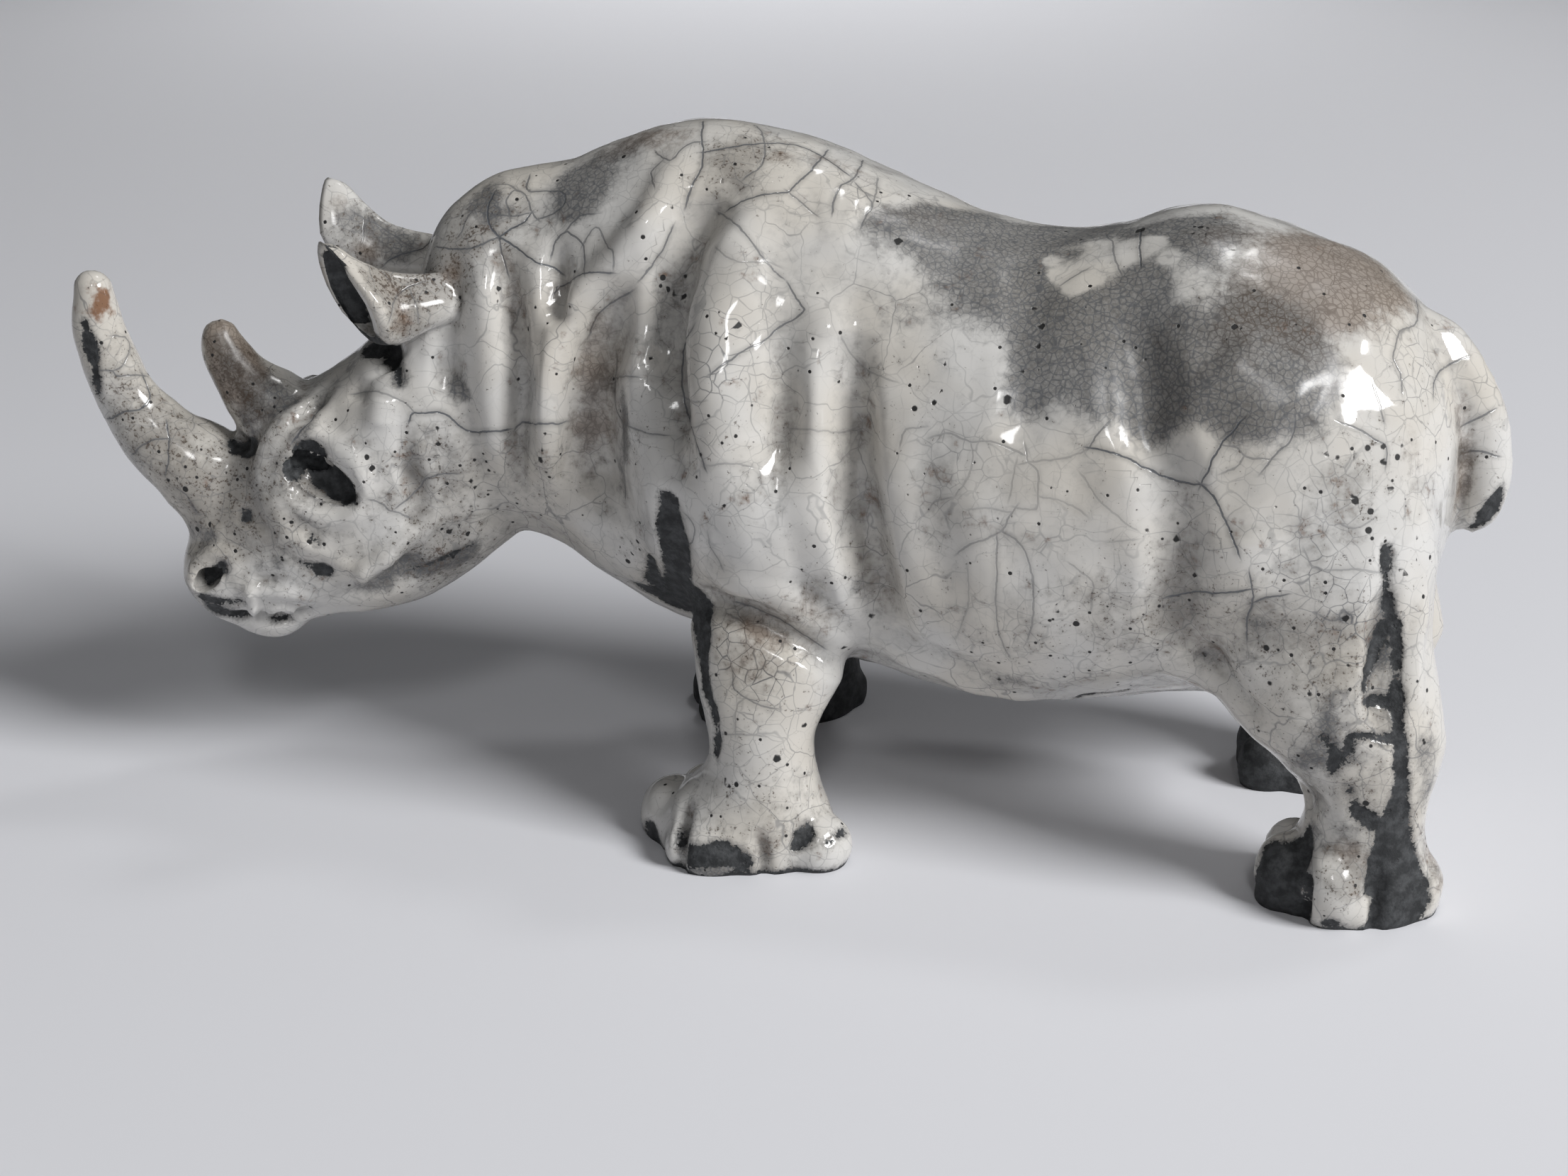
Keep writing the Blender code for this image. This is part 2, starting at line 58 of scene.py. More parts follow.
# The photograph's frame in pixels, and the camera: its place in metres, its lens in millimetres.
PHOTO_SIZE = (2212, 1659)
CAMERA_PLACE = Vector((0.12647, -0.5134, 0.2523))
CAMERA_VIEW = Vector((-0.2256, 0.9048, -0.3613)).normalized()
SENSOR_WIDTH = 36
LENS = 55

# The sculpture, in parts of 1/320 of its length.
RING = 40  # points round a loft
BALL_SEGMENTS = (32, 16)  # round and up a ball
TUBE_ROUNDNESS = 6
TUBE_STEPS = 10  # rings between two points of a tube
WELD = 1e-4
LOFT_STEPS = 6  # rings between two stations
TRUNK_SQUARENESS = 2.1  # of its sections, where 2 is an ellipse
HEAD_SQUARENESS = 2.2
MASS_VOXEL = 1.9
MASS_SMOOTHING = 14
SKIN_VOXEL = 1.36
SKIN_SMOOTHING = 5
SMOOTHING_FACTOR = 0.5

HEAD_PIVOT = (-62, 0)
HEAD_TURN = 18  # degrees, towards the figure's left

# Trunk and neck, from the rump forwards: x, middle y, underside, widest height, top, half width.
TRUNK = [
    (134, 0, 74, 87, 103, 10),
    (131, 0, 62, 86, 113, 22),
    (125, 0, 52, 86, 123.5, 33),
    (116, 0, 45, 85, 131.5, 41),
    (104, 0, 40, 84, 137, 46),
    (90, 0, 37, 83, 141.5, 48),
    (76, 0, 35, 81, 143.5, 48),
    (60, 0, 32, 79, 139, 49),
    (43, 0, 30, 77, 136.5, 49),
    (26, 0, 31, 78, 140, 47),
    (10, 0, 34, 80, 146.5, 44),
    (-8, 0, 38, 82, 153.5, 42),
    (-26, 0, 39, 85, 158, 38),
    (-41, 0, 42, 88, 157, 37),
    (-55, -1, 49, 92, 152, 33),
    (-66, -2, 56, 96, 147.5, 29),
    (-78, -5, 62, 100, 145.5, 26),
    (-90, -9, 74, 106, 139.5, 21),
    (-96, -11, 92, 110, 128, 14),
]

# Head, from the poll to the muzzle, in the head's own frame: forward distance from the pivot,
# middle, underside, widest height, top, half width.
HEAD = [
    (20, 0, 58, 94, 126, 21),
    (33, 0, 47, 88, 123, 23),
    (44, 0, 42, 80, 115, 24),
    (54, 0, 40.5, 74, 104, 23),
    (64, 0, 39.5, 70, 97, 20),
    (74, 0, 37.5, 64, 91, 17),
    (83, 0, 37, 58, 84, 14.5),
    (90, 0, 38, 54, 74, 12.5),
    (95, 0, 41.5, 52, 63, 10),
    (98, 0, 46, 51, 56, 6),
]

# Legs, from the sole up: height, x, y, half length, half width. The right legs mirror the left in y.
FRONT_LEG = [
    (-3, -15, 40, 20, 16),
    (5, -15, 40, 21, 17),
    (11, -14.5, 40, 19, 15.5),
    (17, -12, 40, 14, 13.5),
    (25, -11, 40, 11.5, 12),
    (33, -11, 39, 13.5, 12.5),
    (43, -10.5, 36, 17.5, 13.5),
    (55, -10, 32, 19.5, 14),
    (70, -9, 28, 20, 13),
    (90, -8, 24, 20, 11),
]
HIND_LEG = [
    (-3, 119, 34, 17, 14.5),
    (5, 119.5, 34, 18, 15),
    (11, 120.5, 34, 16, 13.5),
    (19, 121, 34, 13, 12.5),
    (26, 120.5, 34, 13.5, 12.5),
    (34, 118.5, 33.5, 17.5, 14),
    (41, 114, 33, 22, 16),
    (51, 109, 31, 25, 18),
    (66, 105, 28, 27, 18),
    (86, 103, 24, 27, 14),
]
# How far ahead and inwards each foot stands, fading to nothing at the last height.
LEFT_STEP = (0, 0, 1)
RIGHT_FRONT_STEP = (-12.5, 0, 60)
RIGHT_HIND_STEP = (-11, -4, 36)
RIGHT_TOES_REACH = 0.85  # of how far the left toes stand out from the middle of the foot

# Balls that fill out the body, for the left side: centre, half sizes, turn in degrees.
BODY_BALLS = [
    ((-18, -24, 98), (25, 23, 42), (-12, 14, 0)),
    ((-9, -31, 78), (17, 20, 25), (0, 10, 0)),
    ((103, -25, 80), (28, 22, 38), (-8, -12, 0)),
    ((128, -33, 39), (9, 9, 9), (0, 0, 0)),
]
FRONT_TOES = [
    ((-32, -38, 4.5), (8.5, 9, 9), (0, 0, 20)),
    ((-20, -51, 4), (11, 8.5, 8), (0, 0, 8)),
    ((2, -44, 3.5), (8.5, 8, 8), (0, 0, -20)),
    ((-27, -26, 4), (8, 7, 7.5), (0, 0, 0)),
]
HIND_TOES = [
    ((105, -37, 5), (6.5, 8, 10), (0, 0, 0)),
    ((115.5, -44.5, 7), (7.5, 7, 9.5), (0, 0, 0)),
    ((131, -34, 5), (8.5, 9, 10), (0, 0, 0)),
    ((107, -24, 5), (7, 6, 8.5), (0, 0, 0)),
]
# The same in the head's frame: forward, to the left, height.
HEAD_BALLS = [
    ((43, 14, 69), (14, 9, 15), (0, 0, 0)),
    ((47, 14, 89), (11, 7.5, 11), (0, 0, 0)),
    ((66, 11.5, 88), (9, 6, 7), (0, 20, 0)),
    ((91, 7.5, 52), (7, 5.5, 7.5), (0, 0, 0)),
    ((85, 6, 43.5), (8.5, 6, 5), (0, 0, 0)),
    ((78, 3, 38.5), (8.5, 6.5, 5), (0, 0, 0)),
]

# Ears in the head's frame, as rings across the way they open: forward, outwards, height, half
# width, half height. The rim is set back on the outer side and reaches forward at its tip.
EAR = [
    (27, 13, 117, 3, 3),
    (31, 15.5, 117.5, 5.5, 5.5),
    (37, 18, 117.5, 6.5, 6.5),
    (43, 20, 117, 6.2, 8),
    (48, 22, 118.5, 7, 10),
    (51, 23, 120.3, 7.4, 11.6),
    (53.5, 23.5, 121, 7, 11.8),
]
EAR_RING = 24
EAR_STEPS = 3
EAR_RIM_BACK = 0.8
EAR_TIP_AHEAD = 0.45
EAR_POINT = 0.5  # how much narrower the ear grows towards its tip
EAR_WALL = 1.8
EAR_WALL_ABOVE = 1.2  # times as thick above and below the hollow
EAR_FLOOR = 41
EAR_MOUTH = 3  # how far the hollow's cutter reaches out past the rim
# How far each ear is set ahead and up, and tipped up about its root in degrees: left, right.
EAR_SETS = ((-0.5, 2, 0), (4.5, 2.5, 7))

# Front horn, rear horn and tail: points of x, y, z and radius, the horns' in the head's frame.
FRONT_HORN = [
    (86, 0, 66, 11),
    (92, 0, 75, 11.5),
    (100, 0, 82.5, 9.2),
    (106.5, 0, 91, 7.6),
    (110, 0, 99, 6.9),
    (112.2, 0, 107, 6.1),
    (112.8, 0, 115, 5.4),
    (113, 0, 121, 4.2),
    (113, 0, 123.5, 2),
]
REAR_HORN = [
    (72, 0, 84, 10.5),
    (75, 0, 90, 9.8),
    (79.5, 0, 95.5, 7.8),
    (83, 0, 101, 6.2),
    (85, 0, 106.5, 5),
    (85.4, 0, 110, 3.7),
    (85.5, 0, 111.5, 1.8),
]
TAIL = [
    (116, 0, 121, 6),
    (127, 0, 116, 6.5),
    (135, 0, 106, 6.5),
    (139, 0, 95, 6),
    (140, 0, 87, 5.8),
    (139, 0, 79.5, 5),
    (137, 0, 75.5, 2.5),
]

# Folds. Each is a half width, a height (a minus cuts in) and the points of its line as the left
# side shows it: x and height.
FOLD_STEPS = 5  # points between two of a line
FOLD_TAPER = 0.18  # the share of its line over which a fold fades out
FOLD_END_SHARE = 0.25  # of its height, left at its ends
BODY_FOLDS = [
    # Neck.
    (5, -2.5, [(-84, 124), (-86, 113), (-86, 100)]),
    (6, 2.0, [(-80, 131), (-77, 119), (-76, 103), (-75, 90), (-75, 80)]),
    (4.5, -3.5, [(-73, 129), (-70, 115), (-69, 103), (-70, 93), (-71, 80)]),
    (6, 2.0, [(-66, 131), (-64, 116), (-63, 104), (-63, 91), (-65, 76)]),
    (4, -2.5, [(-61, 132), (-60, 123), (-58, 116)]),
    (6, 3.0, [(-36, 151), (-40, 139), (-48, 129), (-55, 121), (-59, 111), (-60, 96), (-61, 82)]),
    (11, -6.5, [(-42, 128), (-49, 115), (-51, 101), (-51, 86), (-49, 70)]),
    (6.5, 0.8, [(-42, 114), (-41, 100), (-37, 88), (-33, 79)]),
    (8.5, -6.5, [(-23, 145), (-29, 139), (-33, 128), (-34, 116), (-31, 105), (-28, 94)]),
    # Shoulder and upper arm.
    (12, 3.5, [(-12, 142), (-19, 136), (-21, 124), (-20, 112), (-18, 98), (-17, 85), (-18, 74)]),
    (5.5, -1.8, [(-7, 122), (-5, 106), (-5, 92)]),
    (8, 3.5, [(-1, 124), (1, 106), (2, 88), (4, 75), (7, 64), (8, 56)]),
    (7.5, -6.0, [(8, 116), (9, 102), (11, 88), (13, 76), (15, 66), (18, 56)]),
    (5, -3.5, [(-27, 59), (-20, 59), (-13, 58), (-6, 55), (0, 52), (4, 49), (8, 45)]),
    (6, 1.5, [(-24, 66), (-13, 65), (-3, 62), (5, 56)]),
    (6, -2.0, [(-31, 84), (-29, 72), (-30, 62)]),
    # Flank and ribs.
    (9, 0.8, [(18, 98), (21, 80), (25, 64)]),
    (7, -0.6, [(26, 102), (28, 84), (32, 68)]),
    (8, 0.6, [(35, 94), (37, 78), (39, 66)]),
    (9, -1.3, [(44, 132), (46, 118), (48, 98)]),
    (9, -1.0, [(57, 130), (58, 111), (59, 92)]),
    (9, -3.0, [(68, 129), (70, 118), (72, 107), (76, 97), (78, 86), (79, 74), (81, 64), (85, 57)]),
    (14, 2.2, [(84, 122), (93, 116), (102, 110)]),
    (13, 2.0, [(91, 88), (95, 72)]),
    (5, 1.3, [(14, 48), (26, 44), (38, 39), (52, 38)]),
    (4.5, -1.2, [(17, 54), (28, 51), (41, 46)]),
    # Hind leg.
    (5, -2.2, [(84, 59), (91, 52), (99, 44)]),
    (6, 1.5, [(79, 54), (87, 46)]),
    (5, -2.0, [(121, 82), (121, 66), (122, 54), (124, 44)]),
    (4.5, 1.5, [(129, 74), (128, 60), (129, 48)]),
    (7, -2.0, [(110, 30), (108, 24)]),
    # Feet.
    (2.6, -2.6, [(-26, 13), (-26, 6), (-26, -1)]),
    (2.6, -2.0, [(-8, 10), (-7, 4), (-7, -1)]),
    (2.6, -2.6, [(110, 14), (110, 6), (110, -1)]),
    (2.6, -2.0, [(125, 13), (125, 5), (125, -1)]),
]
# The same on the head, in its frame: forward and height.
HEAD_FOLDS = [
    (6, 2.0, [(73, 90), (74, 82), (73, 72), (68, 65), (60, 62)]),
    (3.5, -1.6, [(60, 98), (66, 92), (70, 85)]),
    (3.5, 1.8, [(70, 88), (63, 89), (56, 84), (51, 77)]),
    (3.5, 1.4, [(71, 74), (64, 70), (57, 70), (52, 73)]),
    (4, -2.0, [(42, 84), (40, 74), (42, 66)]),
    (5, 1.5, [(46, 62), (52, 57), (57, 55)]),
    (5, -1.6, [(40, 58), (50, 52), (60, 50)]),
    (3.4, -3.0, [(87, 42), (80, 41.5), (73, 42), (67, 44)]),
    (3.5, -1.4, [(80, 52), (74, 53)]),
    (7, -4.0, [(49, 109), (45, 104)]),
    (4, -1.6, [(55, 98), (50, 99)]),
]
# The hidden side is the same but plainer.
RIGHT_SIDE_SHARE = 0.75
# The cleft between the buttocks, seen from behind: y and height.
CLEFT = (6, -5, [(0, 70), (0, 56)])

# Outside the figure, where the rays start that lay the folds on its surface.
OUTSIDE = 300

# Hollows cut into the head, left side, in its frame: centre, half sizes, turn in degrees.
EYE_SOCKET = ((63, 20.5, 79.5), (9.4, 5, 4.6), (0, -29, -12))
EYE_HOLE = ((65.5, 17.5, 82), (5, 5, 2.2), (0, -18, -12))
NOSTRIL = ((91.5, 12.5, 52), (4.4, 5, 2.8), (0, 35, 0))
HORN_VENT = ((82.5, 7, 84), (3, 5, 2.8), (0, 0, 0))


# Marks on the skin, each placed by pixels of the photograph.

# Cracks in the glaze: how strong, and the line.
CRACKS = [
    # Hump.
    (0.9, [(992, 172), (990, 192), (992, 214), (987, 242), (975, 266), (968, 290)]),
    (0.9, [(992, 214), (1020, 210), (1060, 204), (1095, 201), (1130, 207), (1157, 219), (1195, 246)]),
    (0.7, [(1068, 174), (1076, 190), (1079, 220), (1070, 238), (1053, 251)]),
    (0.7, [(925, 213), (935, 222), (948, 225), (960, 210), (975, 202), (990, 200)]),
    (0.6, [(930, 228), (918, 242), (922, 262)]),
    (0.9, [(1167, 212), (1145, 240), (1125, 258), (1111, 272), (1085, 275), (1052, 284), (1028, 297)]),
    (0.6, [(1111, 272), (1130, 285), (1150, 303)]),
    (0.8, [(1218, 225), (1205, 250), (1188, 262), (1178, 277), (1173, 302)]),
    (0.7, [(1208, 260), (1222, 278), (1230, 290), (1222, 305), (1215, 322)]),
    (0.6, [(1238, 252), (1236, 272), (1230, 288)]),
    # Shoulder blade.
    (0.7, [(1016, 300), (1035, 315), (1055, 335), (1070, 357), (1085, 375), (1103, 392)]),
    (0.8, [(1112, 402), (1122, 420), (1135, 437), (1118, 451), (1098, 463), (1078, 481), (1050, 495),
        (1024, 512), (1004, 526)]),
    (0.9, [(978, 464), (965, 488), (962, 530), (965, 565), (975, 600), (986, 632), (995, 660)]),
    (0.4, [(963, 560), (978, 566), (992, 566)]),
    (0.4, [(966, 606), (980, 603), (994, 598)]),
    (0.4, [(1003, 656), (1035, 654), (1058, 659)]),
    (0.35, [(1112, 604), (1150, 607), (1190, 610), (1206, 604)]),
    (0.35, [(1188, 478), (1200, 500), (1230, 525), (1262, 539)]),
    (0.35, [(1012, 350), (1030, 366), (1052, 372), (1080, 369), (1098, 376)]),
    # Net on the neck.
    (0.8, [(948, 322), (936, 350), (918, 375), (904, 393)]),
    (0.8, [(890, 412), (870, 425), (850, 438), (841, 456), (835, 476)]),
    (0.9, [(862, 386), (830, 384), (812, 390), (800, 400), (785, 405), (782, 414)]),
    (0.8, [(824, 384), (824, 365), (822, 345), (806, 331), (798, 327), (785, 340), (778, 360)]),
    (0.7, [(798, 327), (808, 315), (820, 305), (838, 302)]),
    (0.6, [(822, 345), (831, 330), (842, 321), (851, 335), (858, 350), (865, 355), (865, 376)]),
    (1.0, [(704, 334), (690, 318), (689, 290), (697, 274)]),
    (1.0, [(704, 334), (722, 322), (740, 312), (749, 301)]),
    (1.0, [(704, 334), (722, 345), (745, 362), (760, 372), (780, 377), (791, 385)]),
    (0.8, [(704, 334), (708, 356), (716, 386)]),
    (0.8, [(704, 334), (690, 340), (670, 350), (640, 351), (618, 348)]),
    (0.7, [(718, 304), (715, 282), (728, 268), (743, 279), (750, 300), (758, 309)]),
    (0.6, [(697, 262), (715, 261), (730, 269)]),
    (0.8, [(747, 250), (745, 269), (770, 270), (795, 273), (797, 289), (780, 302), (760, 309)]),
    (0.7, [(700, 302), (720, 304), (749, 300)]),
    (0.6, [(672, 292), (660, 305), (654, 322), (648, 332)]),
    # Across the cheek and the neck.
    (0.5, [(498, 556), (528, 553), (555, 560), (574, 571), (583, 581)]),
    (1.0, [(577, 593), (583, 583), (600, 583), (620, 581), (640, 592), (655, 604), (670, 609), (718, 605)]),
    (0.9, [(729, 602), (736, 596), (760, 598), (797, 597)]),
    (0.6, [(524, 706), (540, 711), (550, 720), (576, 729)]),
    (0.7, [(560, 716), (575, 705), (590, 690), (601, 676), (620, 670), (643, 668)]),
    (0.9, [(452, 568), (440, 590), (428, 605), (417, 622)]),
    (0.9, [(541, 375), (556, 362), (580, 355), (600, 348), (612, 332)]),
    (0.6, [(549, 452), (555, 430), (561, 416), (576, 405), (592, 398)]),
    (0.5, [(578, 408), (586, 428), (590, 452)]),
    (0.6, [(499, 300), (514, 309), (530, 315), (558, 334), (580, 347)]),
    (0.5, [(514, 309), (513, 330), (508, 345)]),
    # Front horn.
    (0.7, [(142, 524), (158, 523), (165, 530), (190, 529), (207, 530)]),
    (0.6, [(160, 523), (175, 515), (183, 491), (176, 476), (160, 474)]),
    (0.9, [(203, 530), (210, 548), (212, 560), (205, 572), (195, 578), (175, 582), (160, 590), (150, 592)]),
    (0.8, [(235, 598), (238, 620), (237, 650), (234, 668)]),
    (0.7, [(188, 640), (204, 626), (218, 620), (237, 620)]),
    (0.6, [(250, 690), (262, 699), (270, 711), (278, 723)]),
    # Patch beside the blade's front edge.
    (0.8, [(866, 545), (869, 575), (880, 600), (882, 640), (882, 700)]),
    (0.6, [(866, 545), (866, 520), (865, 500)]),
    (0.6, [(867, 533), (880, 531), (896, 532)]),
    (0.6, [(884, 600), (900, 606), (918, 612), (940, 614)]),
    # Throat.
    (0.6, [(968, 728), (978, 738), (980, 755), (974, 768), (962, 766)]),
    (0.5, [(1000, 755), (1004, 775), (1012, 788), (1018, 800)]),
    (0.8, [(1040, 850), (1067, 859), (1105, 877), (1137, 896), (1160, 912)]),
    # Ribs and flank.
    (0.35, [(1438, 655), (1470, 650), (1500, 646), (1525, 639), (1536, 631)]),
    (0.7, [(1536, 631), (1550, 610), (1563, 595)]),
    (1.0, [(1536, 631), (1565, 638), (1595, 648), (1620, 662), (1645, 673), (1670, 680), (1694, 684)]),
    (1.0, [(1694, 684), (1710, 700), (1722, 722), (1735, 750), (1747, 782)]),
    (1.0, [(1694, 684), (1703, 665), (1715, 640), (1727, 620), (1740, 608), (1753, 591)]),
    (0.7, [(1826, 590), (1824, 612), (1815, 628), (1800, 640), (1782, 663)]),
    (0.5, [(1795, 648), (1770, 647), (1755, 644), (1744, 632), (1724, 628)]),
    (0.5, [(1754, 645), (1744, 660), (1726, 667)]),
    (0.7, [(1892, 596), (1920, 608), (1945, 622), (1955, 632), (1954, 656)]),
    (0.7, [(2000, 422), (2001, 445), (1996, 458), (1977, 465), (1971, 485), (1967, 502), (1976, 524),
        (1977, 550)]),
    (0.8, [(2070, 503), (2045, 514), (2030, 525), (2022, 540), (2022, 557)]),
    (0.6, [(1938, 545), (1945, 570), (1952, 592)]),
    (0.8, [(2062, 601), (2085, 590), (2108, 579)]),
    (0.8, [(2062, 640), (2085, 637), (2113, 643)]),
    (0.9, [(1610, 325), (1608, 345), (1608, 372)]),
    (0.6, [(1560, 331), (1570, 346), (1572, 364), (1580, 383)]),
    (0.6, [(1500, 400), (1515, 390), (1533, 381)]),
    (0.5, [(1432, 716), (1422, 731), (1413, 749), (1390, 760), (1365, 770), (1350, 781)]),
    (0.5, [(1413, 749), (1435, 764), (1448, 785), (1453, 806), (1458, 832), (1456, 878), (1450, 900)]),
    (0.5, [(1406, 757), (1406, 800), (1404, 850), (1410, 890), (1424, 925)]),
    (0.3, [(1364, 800), (1366, 850), (1359, 875), (1350, 897)]),
    (0.35, [(1432, 716), (1461, 718), (1464, 690), (1464, 665), (1450, 650), (1446, 628)]),
    (0.3, [(1424, 702), (1428, 680), (1433, 652)]),
    (0.4, [(1316, 616), (1340, 611), (1365, 623), (1395, 622), (1422, 631), (1442, 640)]),
    (0.4, [(1302, 603), (1280, 605), (1273, 614), (1271, 626)]),
    (0.3, [(1370, 628), (1372, 652), (1365, 675), (1348, 700)]),
    (0.4, [(1312, 716), (1320, 707), (1342, 702)]),
    (0.3, [(1370, 718), (1395, 716), (1424, 722)]),
    (0.3, [(1466, 700), (1500, 708), (1530, 726)]),
    (0.3, [(1525, 670), (1550, 705), (1575, 728), (1602, 748)]),
    (0.35, [(1510, 797), (1540, 822), (1538, 860)]),
    (0.3, [(1565, 765), (1600, 761)]),
    # Thigh.
    (1.0, [(1648, 843), (1665, 840), (1685, 835), (1710, 837), (1740, 836), (1765, 832)]),
    (0.9, [(1763, 811), (1767, 835), (1767, 850), (1760, 870), (1758, 900)]),
    (0.9, [(1767, 850), (1785, 843), (1800, 842), (1813, 840)]),
    (0.4, [(1840, 778), (1850, 798), (1870, 805), (1900, 803), (1925, 804), (1950, 808)]),
    (0.5, [(1862, 868), (1880, 876), (1900, 868), (1915, 858)]),
    (0.4, [(1893, 740), (1905, 745), (1920, 743), (1935, 732)]),
    # Front leg.
    (0.6, [(1033, 953), (1035, 970), (1050, 984), (1070, 995), (1096, 1000)]),
    (0.4, [(1050, 984), (1038, 998), (1037, 1035)]),
    (0.4, [(1014, 1037), (1040, 1036), (1075, 1039)]),
]

# Bare clay: runs of x, y and half width, the last in millimetres.
BARE = [
    # Throat and down the front of the leg.
    [(943, 707, 2.4), (948, 740, 3.3), (954, 780, 3.2), (956, 812, 3.4), (956, 840, 5)],
    [(919, 786, 0.9), (921, 800, 1.5), (923, 818, 2.5)],
    [(902, 828, 1.8), (930, 838, 3.8), (958, 850, 5.5), (980, 845, 3.6)],
    [(984, 862, 4.4), (986, 885, 3.6), (988, 908, 2.6), (991, 940, 1.8), (999, 975, 1.3),
        (1009, 1010, 1.2)],
    [(1009, 1010, 1.2), (1014, 1040, 1), (1010, 1062, 1.3)],
    # Front toes.
    [(968, 1206, 2.6), (990, 1212, 3.2), (1020, 1206, 3), (1048, 1214, 2.2)],
    [(919, 1172, 2.2), (924, 1190, 3)],
    [(960, 1165, 0.8), (963, 1190, 1.2)],
    [(1122, 1196, 1.2), (1131, 1180, 2.1), (1140, 1166, 1.2)],
    [(1166, 1190, 0.6), (1178, 1180, 0.7), (1190, 1172, 0.6)],
    # Hind leg, from the top of the strip down to the heel.
    [(1954, 776, 1.1), (1955, 802, 1.2), (1955, 832, 0.7), (1958, 852, 1.1), (1960, 872, 1.2)],
    [(1953, 885, 1.6), (1942, 912, 1.4), (1932, 945, 0.9), (1926, 968, 0.7)],
    [(1967, 880, 1), (1970, 912, 1.1), (1970, 950, 1.1), (1969, 985, 1.3), (1972, 1020, 1.4),
        (1977, 1060, 1.4)],
    [(1977, 1060, 1.4), (1977, 1110, 1.9), (1970, 1155, 3.4), (1967, 1198, 5.2), (1975, 1240, 6.6)],
    [(1975, 1240, 6.6), (1976, 1278, 8), (1950, 1310, 3.5)],
    [(1928, 990, 0.8), (1950, 991, 1), (1968, 992, 1)],
    [(1909, 1038, 1), (1930, 1039, 1.1), (1955, 1042, 1.2), (1975, 1044, 1)],
    [(1903, 1046, 0.9), (1903, 1075, 0.7)],
    [(1903, 1112, 0.8), (1910, 1132, 1.4), (1920, 1150, 1.6), (1938, 1162, 2.2)],
    [(1866, 1040, 0.7), (1878, 1052, 1), (1882, 1070, 1.4), (1878, 1088, 0.9)],
    [(1848, 1170, 1.2), (1842, 1190, 2.4), (1826, 1210, 4.2), (1806, 1245, 5.6), (1808, 1288, 5)],
    [(1844, 1240, 1), (1843, 1270, 1.3), (1844, 1296, 1.5)],
    [(1792, 1200, 2.5), (1784, 1240, 4), (1784, 1285, 5)],
    [(1865, 1306, 0.6), (1875, 1301, 0.7), (1890, 1307, 0.7)],
    # Tail tip.
    [(2117, 692, 1.3), (2110, 714, 2.6), (2094, 734, 2.1), (2077, 748, 1.1)],
    # Inside of the near ear, and below it.
    [(464, 350, 2.2), (474, 372, 3.8), (482, 396, 4.5), (492, 420, 4.5), (500, 445, 3.4), (500, 462, 2.4)],
    [(512, 470, 2.2), (530, 486, 3.6), (550, 496, 3.8), (560, 512, 1.8), (563, 538, 1)],
    # Eye.
    [(410, 664, 2), (422, 648, 2.8), (437, 632, 2.2), (452, 655, 3.4), (472, 678, 3.4), (498, 700, 2.3)],
    # Face.
    [(119, 455, 0.8), (124, 480, 1.4), (129, 505, 1.9), (133, 530, 1.3), (134, 556, 0.7)],
    [(330, 628, 2), (342, 634, 2.8), (356, 628, 1.8)],
    [(298, 812, 2), (312, 802, 1.4)],
    [(283, 844, 0.9), (310, 847, 1.3), (342, 850, 0.8)],
    [(300, 858, 1.6), (325, 863, 1.3), (345, 866, 0.7)],
    [(384, 872, 0.4), (400, 869, 0.7), (414, 872, 0.4)],
    [(418, 791, 0.6), (440, 799, 1.2), (458, 805, 1.5)],
    [(438, 759, 0.4), (450, 768, 0.6)],
    [(347, 724, 1), (347, 731, 1)],
    [(572, 808, 0.2), (604, 800, 0.4), (640, 782, 0.3), (668, 766, 0.3)],
    # Belly.
    [(1515, 985, 0.5), (1550, 980, 0.9), (1590, 976, 0.5)],
]
# The far feet were dipped less deep: bare up to this height, in millimetres.
FAR_FEET_BARE = 22
# Every foot's lowest edge is bare.
SOLE_EDGE_BARE = 0.9

